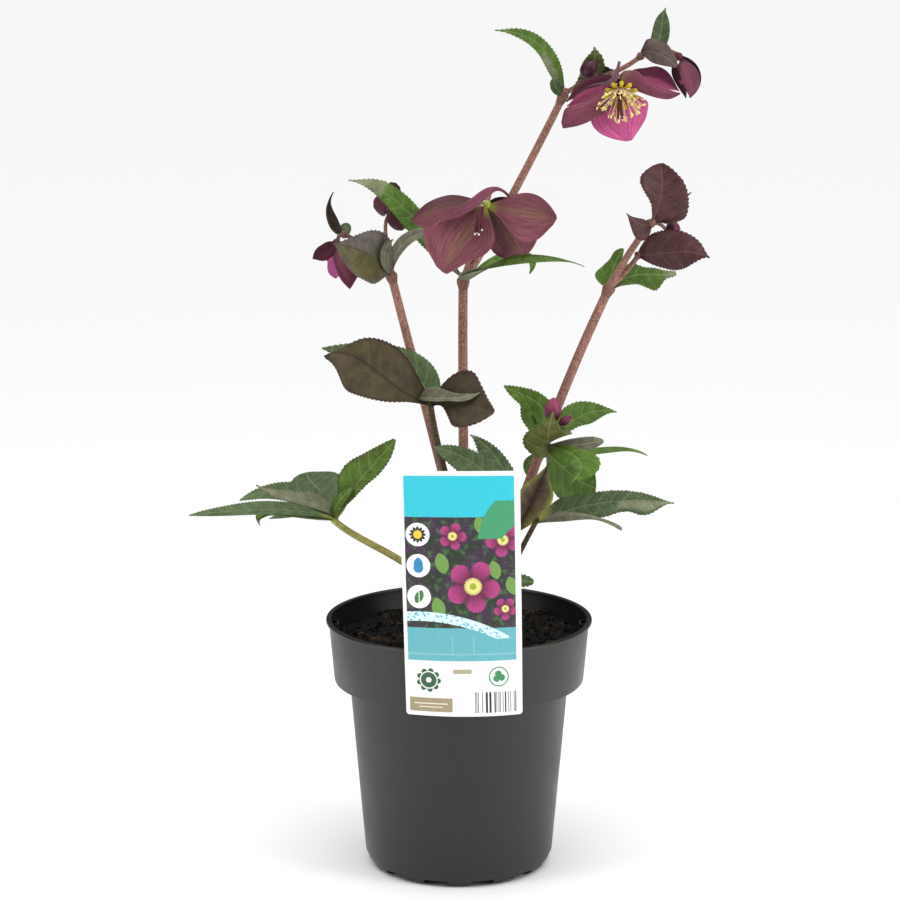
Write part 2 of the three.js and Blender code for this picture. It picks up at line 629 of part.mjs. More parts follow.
const RIGHT_MID_BRACTS = {
  upperLeft: { rib: [[65, 18, 321], [65, 32, 341], [52, 40, 351], [34, 42, 359]], half: [11, 7],
    faces: [[0.2, -0.9, 0.4]], fold: 8, shape: [0.5, 0.8], toothed: true },
  innerLeft: { rib: [[66, 17, 322], [58, 26, 335], [52, 29, 346], [47, 28, 355.5]],
    half: [[3, 8, 9, 9, 7, 4, 0.4], [3, 7, 8, 7, 6, 3, 0.4]], faces: [[0.2, -0.95, 0.3]], fold: 8,
    toothed: true },
  front: { rib: [[66, 15, 318.5], [65.5, -6, 325], [66.5, -16, 337.5], [69, -20, 351]],
    half: [[3, 10, 17.5, 17, 11, 4, 0.4], [6, 16, 19.5, 16, 9, 4, 0.4]],
    faces: [[0.1, -0.95, 0.3]], fold: -8, shape: [0.5, 0.8], toothed: true },
  upperRight: { rib: [[67, 18, 321], [85, 30, 334], [102, 36, 340.5], [119, 36, 339.8]],
    half: [[3, 9, 12, 11.5, 7.5, 3, 0.5], [2.5, 6, 7, 9.5, 8.5, 5, 0.5]], faces: [[0, -0.7, 0.7]],
    fold: 8, toothed: true },
  middleRight: { rib: [[66, 17, 318], [82, 10, 320], [95, 6, 322], [108, 6, 324]],
    half: [[1, 3.5, 5, 5.5, 5.5, 5, 3], [1, 3.5, 4.5, 5, 5.5, 5, 3]], faces: [[0, -0.8, 0.6]],
    shape: [0.6, 0.35] },
  lowerRight: { rib: [[65, 18, 316], [90, 28, 309.5], [117, 35, 310.7], [142.7, 36, 306.5]],
    half: 7, faces: [[0, -0.12, 1]], fold: 8, shape: [0.6, 0.8] },
  frontRight: { rib: [[67, 15, 319], [82, -8, 318], [90, -18, 311], [83.3, -22, 299]],
    half: [[2, 4, 5.5, 9, 14.5, 9.5, 2], [6, 10.5, 10.5, 10.5, 9, 6.5, 1.5]],
    faces: [[0.2, -0.9, 0.45]], fold: 6, toothed: true },
  backLeft: { rib: [[62, 19, 317], [58, 29, 305], [53, 34, 301], [51, 34, 292]], half: 5,
    faces: [[-0.2, -0.9, 0.3]], shape: [0.5, 0.7] },
  backRight: { rib: [[66, 19, 314], [78, 34, 298], [92, 38, 286], [104, 36, 282]], half: [13, 21],
    faces: [[0.1, -0.8, 0.5]], shape: [0.6, 0.4], toothed: true },
};

const RIGHT_LOW_BRACT = {
  clasping: { rib: [[42, 13, 252], [51, 3, 272], [59, -3, 291], [67, -1, 309]],
    half: [[4, 8, 12, 13, 11, 5, 1], [4, 9, 13, 14.5, 12.5, 5, 1]], faces: [[0.3, -0.95, 0.2]],
    fold: 12, wave: 1.2 },
};

// ---- Leaves from the root ------------------------------------------------------------------

const BASAL_LEAF = {
  stalk: { path: [[-9, -12, STEM_FOOT], [-16, -24, 214], [-54, -34, 248.5], [-92, -38, 273.5]],
    from: 2.8, to: 2.5 },
  leaflets: {
    terminal: { rib: [[-90, -38, 274], [-79, -46, 297], [-62.5, -54, 318.5], [-46.7, -54, 337.5]],
      half: [[1, 4, 13.5, 15, 11, 7, 3], [1, 3, 6, 7.5, 10, 8.5, 3]],
      faces: [[-0.35, -0.95, 0.4]], fold: [4, 16], cup: 6, shape: [0.5, 0.35], toothed: true },
    rounded: { rib: [[-91, -37, 275], [-100, -8, 285], [-109, 10, 290], [-115, 24, 296]],
      half: 20, faces: [[0, -0.7, 0.7]], shape: [0.6, 0.5], toothed: true },
    back: { rib: [[-91, -37, 275], [-112, -14, 286], [-136, -2, 288], [-164, 4, 279]],
      half: [12, 8], faces: [[0, -0.6, 0.8]], fold: 8, shape: [0.5, 0.8], toothed: true },
    middle: { rib: [[-91, -38, 275], [-108, -41, 287], [-128, -42, 292.5], [-148.5, -42, 301]],
      half: [[1.5, 4, 5.3, 5.3, 4.5, 3, 0.5], [4, 9.5, 10.5, 7.5, 5, 3, 0.5]],
      faces: [[0, -0.5, 0.85]], fold: 6, toothed: true },
    long: { rib: [[-91, -39, 275], [-123, -60, 286], [-158, -74, 289], [-195, -76, 286]],
      half: [9, 9.5], faces: [[0, -0.35, 0.95]], fold: 8, shape: [0.5, 0.8], toothed: true },
    under: { rib: [[-91, -37, 274], [-113, -24, 276], [-125, -20, 275], [-141, -18, 270]],
      half: 9, faces: [[0, -0.3, 1]], shape: [0.5, 0.8] },
    hanging: { rib: [[-91, -38, 274], [-118, -50, 280], [-140, -58, 283], [-145, -62, 275]],
      half: [[1, 1, 1, 1.5, 2, 3, 0.5], [1, 3, 4, 5, 5, 4, 0.5]],
      faces: [[0, -0.3, 1], [-0.6, -0.8, 0.2]] },
    small: { rib: [[-90, -38, 274], [-90, -47, 286], [-84, -51, 295], [-79, -50, 301]], half: 4.5,
      faces: [[-0.4, -0.9, 0.3]], shape: [0.5, 0.6] },
  },
};

const LEFT_LEAF = {
  stalk: { path: [[22, -26, STEM_FOOT], [8, -32, 236], [-9, -44, 305], [-21, -44, 362]],
    from: 2.9, to: 2.3 },
  leaflets: {
    great: { rib: [[-20, -44, 361], [-49, -58, 379.5], [-73, -66, 399], [-97, -66, 400.5]],
      half: [[1, 5.5, 16, 24, 28, 21.5, 9], [9, 16, 21.5, 22.5, 17, 4, 0.3]],
      faces: [[0.15, -0.9, 0.5]], fold: 6, cup: 10, shape: [0.35, 0.55], toothed: true },
    back: { rib: [[-21, -45, 361], [-33, -39, 382], [-61, -38, 394], [-100, -34, 401]],
      half: [14, 15], faces: [[0.1, -0.75, 0.65]], fold: 10, shape: [0.6, 0.9], toothed: true },
    folded: { rib: [[-30, -47, 366.5], [-15, -60, 369], [1, -68, 371], [14.5, -68, 374.5]],
      half: [[8, 9.5, 8, 5, 3, 2, 0.5], [1, 2.5, 3, 2.5, 3.5, 3, 0.8]], faces: [[0, -0.8, 0.7]],
      fold: 6, shape: [0.12, 0.6] },
    front: { rib: [[-20, -45, 361], [-4, -60, 367], [11, -70, 366], [25, -76, 362]],
      half: [[6, 13.5, 21, 22.5, 14.5, 7.5, 4], [1, 4, 12.5, 20.5, 21.5, 16.5, 8]],
      faces: [[0.1, -0.9, 0.45]], fold: 6, cup: 12, shape: [0.4, 0.5], toothed: true },
  },
};

const CENTRE_LEAF = {
  stalk: { path: [[30, -16, STEM_FOOT], [29, -24, 194], [32, -38, 238], [36, -48, 283]],
    from: 2.4, to: 2 },
  leaflets: {
    front: { rib: [[36, -48, 282], [24, -62, 309], [5, -68, 326], [-18, -66, 334]],
      half: [14.5, 8.5], faces: [[0.3, -0.95, 0.4]], fold: 8, shape: [0.6, 0.8], toothed: true },
    back: { rib: [[36, -47, 282], [36, -30, 302], [24, -20, 321], [8.2, -14, 332.5]],
      half: [[2, 8, 12, 13, 11, 6, 0.4], [2, 6, 6.5, 5.5, 4.5, 2.5, 0.4]],
      faces: [[0.1, -0.95, 0.4]], fold: 8, toothed: true },
    low: { rib: [[31, -34, 226], [42, -42, 229], [55, -44, 228]], half: 4.5,
      faces: [[0.1, -0.95, 0.3]], shape: [0.5, 0.5], toothed: true },
  },
};

const RIGHT_LEAF = {
  stalk: { path: [[26, 0, STEM_FOOT], [28.5, -7, 196], [42.5, -9, 236], [58, -9, 267]],
    from: 2.3, to: 1.9 },
  leaflets: {
    long: { rib: [[57, -9, 265], [89.5, -23, 280], [123.5, -35, 287.5], [157.5, -40, 286.8]],
      half: [[4, 13, 10, 9.4, 8.4, 5.7, 0.5], [4, 9, 12, 14, 10.4, 17, 0.5]],
      faces: [[0, -0.65, 0.75]], fold: 6, shape: [0.5, 1], toothed: true },
    curved: { rib: [[58, -9, 265], [78.5, -30, 275.5], [99.5, -42, 276.5], [119.3, -46, 268]],
      half: [[3, 8.4, 4.8, 2.6, 1.4, 2, 4], [3, 5.5, 6.9, 5.4, 2.4, 1.4, 2]],
      faces: [[0, -0.5, 0.9]], fold: -6, shape: [0.5, 0.3] },
  },
};

function leafSolid({ stalk, leaflets }) {
  const { path, to } = stalk;
  const joint = ball(path[path.length - 1], to + 0.8);
  return fuse([tube(stalk), joint, ...Object.values(leaflets).map(blade)]);
}

// ---- Flowers -------------------------------------------------------------------------------

const FRONT_FLOWER = {
  heart: [20, -41, 507],
  heartRadius: 4,
  sepals: {
    lowerLeft: { rib: [[19, -42, 505.5], [8, -52, 491], [-2.5, -56, 476], [-12, -48, 459]],
      half: [[4, 13, 21, 21, 14, 9, 5], [4, 16, 26, 29.5, 28, 21, 8]],
      faces: [[-0.15, -0.95, 0.15]], fold: 2, cup: [26, 14], shape: [0.45, 0.22], wave: 1.1 },
    lowerRight: { rib: [[20, -40, 505], [28.5, -36, 492], [37, -32, 479], [44, -28, 465.5]],
      half: [[4, 9, 14, 17.5, 20, 20, 14], [4, 8, 12, 15, 15, 12, 6]],
      faces: [[0.1, -0.97, 0.15]], cup: 10, shape: [0.45, 0.4], wave: 1.1 },
    right: { rib: [[20, -42, 506], [38, -46, 504], [54, -44, 501], [70, -40, 496.5]],
      half: [[3, 6.5, 11, 13.5, 13, 9.5, 5], [3, 9, 17, 22, 21.5, 18.5, 10]],
      faces: [[0.1, -0.97, 0]], cup: 12, shape: [0.5, 0.45], wave: 0.9 },
    rim: { rib: [[37, -37, 510.5], [24, -52, 519], [13, -62, 513.5], [3, -68, 508],
        [-7, -72, 506]],
      half: [[0.3, 1.2, 3, 4, 4.2, 4.4, 4], [0.4, 2, 3.3, 3.5, 3.5, 3.5, 3.2]],
      faces: [[0, -0.85, 0.5]], cup: -20, shape: [0.8, 0.2] },
    inner: { rib: [[21, -41, 508], [30, -38, 508], [40, -36, 510.5]],
      half: [[2, 3.5, 4, 4, 3.5, 2.5, 1], [2, 3.5, 4.5, 5, 4.5, 3, 1]], faces: [[0, -0.95, 0.3]],
      fold: 20 },
    left: { rib: [[18, -42, 508], [-0.5, -56, 509.5], [-17, -60, 506.5], [-34, -54, 497]],
      half: [[2, 6, 10, 10.5, 10.5, 13, 9], [3.5, 9, 11.5, 11.5, 11, 9.5, 6]],
      faces: [[0, -0.95, 0.2]], fold: [-12, -50], shape: [0.5, 0.3] },
  },
};

const FRONT_CARPELS = {
  foot: [18.5, -47, 503],
  tips: [[16, -60, 484], [12, -62, 485], [14, -65, 487], [19, -63, 488]],
};

const TOP_FLOWER = {
  heart: [117, -9, 588],
  heartRadius: 5,
  sepals: {
    lower: { rib: [[117, -8, 587], [117.3, -9, 575], [120.4, -8, 561.5], [125.1, -5, 549.2]],
      half: [[5, 15, 19.5, 18.5, 15.5, 9.5, 3], [6, 15, 21.5, 24, 20.5, 13, 5.5]],
      faces: [[-0.1, -0.95, 0.3]], fold: 9, shape: [0.4, 0.35], wave: 0.6 },
    left: { rib: [[115, -11, 587], [101, -17, 578], [88, -20, 569.2], [74.6, -19, 559.6]],
      half: [[1, 4, 9, 8, 7, 5, 1.8], [1, 4, 5, 6, 9, 11, 6]], faces: [[-0.1, -0.95, 0.1]],
      cup: -16, shape: [0.5, 0.3] },
    leftInner: { rib: [[114.5, -8.5, 588.5], [101.5, -12, 585.5], [88.5, -13, 579.5],
        [77.6, -13, 574.9]],
      half: [[2, 4, 5, 7, 7.5, 4.5, 0.5], [1.5, 2.5, 3.5, 4.6, 4.7, 3.1, 0.5]],
      faces: [[0.1, -0.9, 0.4]], fold: 10 },
    upperLeft: { rib: [[117.5, -7, 592], [103, -5, 592], [90, -6, 587.5], [77.5, -9, 577.3]],
      half: [[2, 4, 4.5, 5, 5, 4.5, 1], [2, 4.2, 4.5, 4.5, 4, 3, 1]], faces: [[0, -0.9, 0.4]],
      fold: 8 },
    right: { rib: [[118, -9, 590.5], [134, -5, 595.2], [148, -5, 591.5], [158.8, -10, 585.4]],
      half: [[4, 6.5, 6.5, 8.8, 7.6, 4.2, 1], [3, 4, 5, 6, 5, 3.5, 1]], faces: [[0, -0.95, 0.2]],
      cup: 20 },
    rightWing: { rib: [[116, -9, 597], [130.8, -20, 590.4], [144.5, -25, 585.2],
        [158.6, -24, 584.8]],
      half: [[6, 8, 5.6, 4.5, 4, 3.4, 1.2], [5, 6.2, 5.2, 4.5, 4, 3.5, 1.2]],
      faces: [[0, -0.95, 0.1]], cup: -14, shape: [0.3, 0.3] },
    upper: { rib: [[115.5, -9, 606.6], [113.4, -11, 598], [109.3, -12, 591.8],
        [101.8, -10, 590], [93, -6, 587.2]],
      half: [[0.2, 1.1, 2.1, 2.3, 1.4, 0.9, 0.5], [0.2, 1.1, 2.1, 2.3, 1.4, 0.9, 0.5]],
      faces: [[-0.3, -0.95, 0.1]], fold: -10, shape: [0.5, 0.5] },
  },
};

const STAMENS = {
  ring: [116, -16, 583],
  axis: [-0.08, -0.76, -0.62],
  ringRadius: 3.6,
  count: 15,
  length: 19,
  spread: 36,
  thickness: 0.45,
  anther: 1.1,
};

const TOP_STYLES = {
  foot: [115.6, -18, 581],
  tips: [[111, -34, 570], [115, -36, 568], [118, -34, 570]],
};

const BELL_FLOWER = {
  heart: [159, 4, 609],
  heartRadius: 3.5,
  columns: 2,
  sepals: {
    left: { rib: [[157, 2, 605], [156.9, -4, 595.6], [160.7, -7, 587.9], [164, -6, 580]],
      half: [[2.4, 3, 2.9, 2.6, 2.3, 2, 0.8], [2.4, 3, 2.9, 2.6, 2.3, 2, 0.8]],
      faces: [[-0.4, -1, 0]], cup: -20, shape: [0.3, 0.4] },
    front: { rib: [[161, 4, 608.3], [166, -4, 598.7], [168.9, -7, 589.3], [167.1, -5, 579.9]],
      half: [[3, 6.7, 8.2, 7.8, 6.8, 5, 2], [3, 7.5, 9.5, 9.5, 8.5, 6.5, 3]],
      faces: [[0.3, -1, 0.1]], cup: -40 },
    back: { rib: [[160, 5, 609], [171, 13, 597], [169, 11, 581]], half: 6,
      faces: [[-0.3, -1, -0.2]], fold: 10, cup: 30, shape: [0.5, 0.4] },
  },
};

const OUTER_FLOWER = {
  heart: [-89, -27.5, 477.5],
  heartRadius: 3.2,
  columns: 2,
  sepals: {
    left: { rib: [[-88, -28, 477], [-97, -34, 472.5], [-106, -34, 466.5]],
      half: [[2, 4, 6, 6.5, 6.5, 5, 2], [2, 4, 5, 5, 5, 4, 2]], faces: [[0.2, -1, 0.1]],
      cup: 16 },
    lower: { rib: [[-88, -27, 475], [-91, -25, 463], [-89.5, -26, 451]],
      half: [[2, 3, 4.5, 5.5, 6, 6, 5], [2, 3, 4, 4.5, 5, 5, 3.5]], faces: [[-0.1, -1, 0.1]],
      cup: 10 },
    right: { rib: [[-88, -28, 476], [-86, -36, 463], [-79, -40, 445.5]],
      half: [[2, 4, 6, 8, 11, 12, 7], [2, 3, 4, 4, 4, 3.5, 2]], faces: [[0.1, -1, 0]], cup: -14 },
    back: { rib: [[-89, -27, 477], [-91, -17, 466], [-89, -13, 456]], half: 6,
      faces: [[0.2, -1, -0.2]], cup: 25, shape: [0.5, 0.5] },
  },
};

const BACK_FLOWER = {
  heart: [-51, 9.5, 497.5],
  heartRadius: 3,
  columns: 2,
  sepals: {
    upper: { rib: [[-51, 9, 498], [-50, 13, 507], [-46.5, 20, 515]], half: 6.5,
      faces: [[0, -1, 0.1]], cup: -20, shape: [0.5, 0.35] },
    left: { rib: [[-51, 9, 498], [-57, 12, 499], [-63, 20, 497]], half: 8, faces: [[-0.3, -1, 0]],
      cup: -20, shape: [0.5, 0.4] },
    lower: { rib: [[-51, 9, 498], [-46, 12, 489], [-42, 20, 480]], half: [6.5, 7],
      faces: [[0, -1, -0.1]], cup: -20, shape: [0.5, 0.4] },
    right: { rib: [[-51, 9, 498], [-45, 14, 504], [-42, 20, 507]], half: 6,
      faces: [[0.3, -1, 0.1]], cup: -20, shape: [0.5, 0.4] },
  },
};

const BUDS = {
  bud_top: { foot: [91.6, 13.4, 592.8], tip: [98.5, 6, 605], radius: 6.8, point: 0.5 },
  bud_right: { foot: [153.6, 29.4, 479.6], tip: [164.6, 32, 478.5], radius: 6.8, point: 0.5 },
  bud_mid_large: { foot: [69.1, 8, 337.6], tip: [70.5, 8, 356.5], radius: 6.7, point: 0.5 },
};

function flowerSolid({ heart, heartRadius, sepals, columns }) {
  const blades = Object.values(sepals).map((sepal) => blade({ ...sepal, columns }));
  return fuse([ball(heart, heartRadius), ...blades]);
}

function carpelSolid({ foot, tips }, grow = 0) {
  const start = vector(foot);
  const carpels = tips.map((tip) => {
    const middle = start.clone().lerp(vector(tip), 0.5);
    middle.z += 1.5;
    const path = [foot, middle.toArray(), tip];
    return tube({ path, from: 1.3, to: 0.5, steps: 2, sides: 4 }, grow);
  });
  return fuse([ball(foot, 2 + grow), ...carpels]);
}

// The disc that the stamens stand on.
function stamenDisc({ ring, axis, ringRadius, anther }, grow = 0) {
  const centre = vector(ring);
  const ahead = vector(axis).normalize();
  const ends = [-1.4 - grow, 1.2 + grow].map((step) => (
    centre.clone().addScaledVector(ahead, step).toArray()
  ));
  const radius = ringRadius + anther + grow;
  return tube({ path: ends, from: radius, to: radius, steps: 1, sides: 8 });
}

// Stamens leave the disc in a golden-angle spiral, the outer ones leaning out the most, and each
// ends in an anther.
function stamenSolid(spec, grow = 0) {
  const { thickness, anther } = spec;
  const axis = vector(spec.axis).normalize();
  const across = new THREE.Vector3().crossVectors(axis, new THREE.Vector3(0, 0, 1)).normalize();
  const over = new THREE.Vector3().crossVectors(axis, across);
  const centre = vector(spec.ring);
  const goldenAngle = Math.PI * (3 - Math.sqrt(5));
  const parts = [stamenDisc(spec, grow)];
  for (let i = 0; i < spec.count; i++) {
    const share = Math.sqrt((i + 0.5) / spec.count);
    const turn = i * goldenAngle;
    const away = across.clone().multiplyScalar(Math.cos(turn))
      .addScaledVector(over, Math.sin(turn));
    const lean = radians(spec.spread) * (0.35 + 0.65 * share);
    const ahead = axis.clone().multiplyScalar(Math.cos(lean))
      .addScaledVector(away, Math.sin(lean));
    const foot = centre.clone().addScaledVector(away, spec.ringRadius);
    const tip = foot.clone().addScaledVector(ahead, spec.length * (1 - 0.12 * (i % 3)));
    const path = [foot.clone().sub(ahead).toArray(), tip.toArray()];
    const radius = thickness + grow;
    parts.push(tube({ path, from: radius, to: radius, steps: 1, sides: 3 }));
    const head = {
      foot: tip.clone().addScaledVector(ahead, -anther).toArray(),
      tip: tip.clone().addScaledVector(ahead, 1.6 * anther).toArray(),
    };
    parts.push(bud({ ...head, radius: anther + grow, sides: 4, steps: 2 }));
  }
  return fuse(parts);
}

// ---- The assembled plant -------------------------------------------------------------------

const stems = { centre: CENTRE_STEM, left: LEFT_STEM, right: RIGHT_STEM };
const leaves = {
  leaf_basal: BASAL_LEAF,
  leaf_left: LEFT_LEAF,
  leaf_centre: CENTRE_LEAF,
  leaf_right: RIGHT_LEAF,
};
const widenedStems = Object.values(stems).map((stem) => stemSolid(stem, GAP));
const widenedStalks = Object.values(leaves).map(({ stalk }) => tube(stalk, GAP));
const clearance = fuse([...widenedStems, ...widenedStalks]);

addNode('pot', pot(), COLOURS.pot);
const pocketRoom = POCKET_TURNS.map((turn) => pocketBlock(turn, GAP));
addNode('soil', soil([clearance, labelTongue(GAP), ...pocketRoom]), COLOURS.soil);
addNode('label', fuse([cardSheet(), labelTongue()]), COLOURS.label);

addNode('stem_centre', stemSolid(CENTRE_STEM), COLOURS.stem);
addNode('stem_left', stemSolid(LEFT_STEM), COLOURS.stem);
addNode('stem_right', stemSolid(RIGHT_STEM), COLOURS.stem);

Object.entries(leaves).forEach(([name, leaf]) => {
  addNode(name, leafSolid(leaf), name === 'leaf_left' ? COLOURS.bronzeLeaf : COLOURS.leaf);
});

const { leaf, bronzeLeaf, bronzeBract } = COLOURS;
const whorls = {
  bracts_centre_lower: { bracts: CENTRE_LOWER_BRACTS, stem: CENTRE_STEM.lower, at: 0.985,
    clasp: 9, look: leaf },
  bracts_centre_upper: { bracts: CENTRE_UPPER_BRACTS, stem: CENTRE_STEM.upper, at: 0.98,
    clasp: 8, look: leaf },
  bracts_centre_top: { bracts: CENTRE_TOP_BRACTS, stem: CENTRE_STEM.topFlowerStalk, at: 0.97,
    clasp: 6, look: bronzeLeaf },
  bracts_left_top: { bracts: LEFT_TOP_BRACTS, stem: LEFT_STEM.main, at: 0.99,
    clasp: 9, look: bronzeLeaf },
  bracts_left_outer: { bracts: OUTER_FLOWER_BRACTS, stem: LEFT_STEM.outerFlowerStalk, at: 0.72,
    clasp: 5, look: bronzeBract },
  bracts_right_branch: { bracts: RIGHT_BRANCH_BRACTS, stem: RIGHT_STEM.main, at: 0.985,
    clasp: 8, look: leaf },
  bracts_right_top: { bracts: RIGHT_TOP_BRACTS, stem: RIGHT_STEM.upper, at: 0.95,
    clasp: 7, look: bronzeBract },
  bract_right_side: { bracts: RIGHT_SIDE_BRACT, stem: RIGHT_STEM.side, at: 0.93,
    clasp: 5, look: bronzeBract },
  bracts_right_mid: { bracts: RIGHT_MID_BRACTS, stem: RIGHT_STEM.main, at: 0.59,
    clasp: 11, look: leaf },
  bract_right_low: { bracts: RIGHT_LOW_BRACT, stem: RIGHT_STEM.main, at: 0.35,
    clasp: 8, look: bronzeBract },
};

Object.entries(whorls).forEach(([name, { bracts, stem, at, clasp, look }]) => {
  const whorl = fuse([sleeve(stem, at, clasp), ...Object.values(bracts).map(blade)]);
  addNode(name, whorl.subtract(clearance), look);
});

function addBloom(name, bloom, look, cuts = []) {
  addNode(name, flowerSolid(bloom).subtract(fuse([clearance, ...cuts])), look);
}

addBloom('sepals_front', FRONT_FLOWER, COLOURS.oldSepal, [carpelSolid(FRONT_CARPELS, GAP)]);
addBloom('sepals_top', TOP_FLOWER, COLOURS.freshSepal,
  [carpelSolid(TOP_STYLES, GAP), stamenDisc(STAMENS, GAP)]);
addBloom('sepals_bell', BELL_FLOWER, COLOURS.darkSepal);
addBloom('sepals_outer', OUTER_FLOWER, COLOURS.darkSepal);
addBloom('sepals_back', BACK_FLOWER, COLOURS.darkSepal);
addNode('carpels_front', carpelSolid(FRONT_CARPELS), COLOURS.style);
addNode('styles_top', carpelSolid(TOP_STYLES), COLOURS.style);
const brush = stamenSolid(STAMENS).subtract(carpelSolid(TOP_STYLES, GAP));
addNode('stamens_top', brush, COLOURS.stamen);
Object.entries(BUDS).forEach(([name, shape]) => {
  addNode(name, bud(shape), COLOURS.bud);
});

export default plant;
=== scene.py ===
"""A hellebore in flower in its nursery pot, with a printed card label hooked over the rim.

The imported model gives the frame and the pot's sizes. Each operator builds one kind of piece from
formulas worked out over whole arrays: blades for leaves, bracts and sepals, skins of rings for
stems and buds, and turned profiles for the pot and the soil. Shapes are in millimetres, with the
origin under the pot's middle, and become metres when a mesh is made.
"""

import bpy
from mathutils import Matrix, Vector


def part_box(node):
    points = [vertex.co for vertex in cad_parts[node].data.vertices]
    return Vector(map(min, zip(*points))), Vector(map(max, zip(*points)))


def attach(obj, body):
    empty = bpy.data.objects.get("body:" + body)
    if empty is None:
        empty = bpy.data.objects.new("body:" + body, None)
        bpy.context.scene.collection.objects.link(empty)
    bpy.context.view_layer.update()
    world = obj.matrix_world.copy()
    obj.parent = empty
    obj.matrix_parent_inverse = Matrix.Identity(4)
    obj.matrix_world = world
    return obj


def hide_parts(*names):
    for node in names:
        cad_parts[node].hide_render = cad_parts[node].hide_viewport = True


bl_info = {
    "name": "Potted hellebore",
    "version": (1, 0, 0),
    "blender": (4, 5, 0),
    "location": "View3D > Sidebar > Hellebore",
    "description": "Builds a hellebore in flower with its pot, soil and card label",
    "category": "Add Mesh",
}

import bpy
import numpy as np
from mathutils import Vector

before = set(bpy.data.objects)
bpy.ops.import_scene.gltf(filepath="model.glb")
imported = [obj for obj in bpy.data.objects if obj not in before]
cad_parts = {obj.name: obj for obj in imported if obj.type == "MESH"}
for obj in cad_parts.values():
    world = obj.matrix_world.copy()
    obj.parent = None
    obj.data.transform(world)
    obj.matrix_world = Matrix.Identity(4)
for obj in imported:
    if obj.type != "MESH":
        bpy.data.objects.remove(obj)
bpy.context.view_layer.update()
POT_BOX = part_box("pot")
MM = 0.001
TURN = 2 * np.pi

# ---- Colours and small tools


def linear(code):
    """The linear colour of a six-digit sRGB code such as "4f6a2f"."""
    channels = np.array([int(code[place : place + 2], 16) / 255 for place in (0, 2, 4)])
    return np.where(channels > 0.04045, ((channels + 0.055) / 1.055) ** 2.4, channels / 12.92)


def colour(name, description, code):
    """A colour setting with its default."""
    return bpy.props.FloatVectorProperty(
        name=name, description=description, default=linear(code), subtype="COLOR", min=0, max=1
    )


def length(name, description, millimetres):
    """A length setting with its default in millimetres, kept in metres."""
    return bpy.props.FloatProperty(
        name=name, description=description, default=millimetres * MM, min=0, unit="LENGTH"
    )


def strength(name, description, default):
    """A setting for the strength of a light."""
    return bpy.props.FloatProperty(name=name, description=description, default=default, min=0)


def quantity(name, description, default):
    """A setting for how many there are."""
    return bpy.props.IntProperty(name=name, description=description, default=default, min=0)


def through(values, t):
    """A smooth curve through evenly spaced values, each cell a cubic set by its four nearest."""
    values = np.asarray(values, float)
    last = len(values) - 1
    cell = np.minimum((t * last).astype(int), last - 1)
    part = (t * last - cell).reshape(-1, *[1] * (values.ndim - 1))
    before, first, second, after = (values[np.clip(cell + step, 0, last)] for step in (-1, 0, 1, 2))
    bend = 3 * (first - second) + after - before
    rise = 2 * before - 5 * first + 4 * second - after
    return first + part / 2 * (second - before + part * (rise + part * bend))


def sided(values, t, s):
    """A blade's measure at each point: one number, one a side, or a row of them a side along t."""
    sides = values if isinstance(values, list) else [values, values]
    rows = [through(side, t) if isinstance(side, list) else np.full(len(t), side) for side in sides]
    return np.where(s < 0, rows[0][:, None], rows[1][:, None])


def smooth(value, low, high):
    """0 below low, 1 above high and an easy slope between them."""
    part = np.clip((value - low) / (high - low), 0, 1)
    return part * part * (3 - 2 * part)


def blend(first, second, amount):
    """first where amount is 0 and second where it is 1, along a last axis of its own."""
    amount = np.asarray(amount)[..., None]
    return np.asarray(first) * (1 - amount) + np.asarray(second) * amount


def stacked(*columns):
    """Columns side by side along a last axis, each spread to the size of the largest."""
    return np.stack(np.broadcast_arrays(*columns), axis=-1)


def unit(vectors):
    """The same directions with a length of one."""
    return vectors / np.maximum(np.linalg.norm(vectors, axis=-1, keepdims=True), 1e-9)


def curve(points, t):
    """The polynomial through evenly spaced points, with its direction at each t."""
    knots = np.linspace(0, 1, len(points))
    powers = np.arange(len(points))
    factors = np.linalg.solve(knots[:, None] ** powers, np.asarray(points, float))
    place = t[:, None] ** powers @ factors
    slope = (powers[1:] * t[:, None] ** (powers[1:] - 1)) @ factors[1:]
    return place, unit(slope)


# ---- Settings


class HelleboreSizes(bpy.types.PropertyGroup):
    """The sizes of the pot, the label and the fine relief of the living parts."""

    pot_height: length("Pot height", "from the table to the rim", POT_BOX[1][2] / MM)
    rim_radius: length("Rim radius", "outside of the pot's rolled lip", POT_BOX[1][0] / MM)
    pot_wall: length("Pot wall", "thickness of the moulded wall", 1.9)
    label_thickness: length("Label thickness", "thickness of the plastic card", 0.8)
    leaf_thickness: length("Leaf thickness", "thickness of a leaf beside its midrib", 0.55)
    sepal_thickness: length("Sepal thickness", "thickness of a sepal at its middle", 0.6)
    tooth_spacing: length("Tooth spacing", "from tooth to tooth along a leaf's edge", 2.9)
    tooth_depth: length("Tooth depth", "how far a tooth stands out", 1.2)
    vein_spacing: length("Vein spacing", "between the side veins of a leaf", 10.0)
    crumb_count: quantity("Crumbs", "lumps of peat on the soil", 1500)
    fibre_count: quantity("Fibres", "root fibres on the soil", 130)


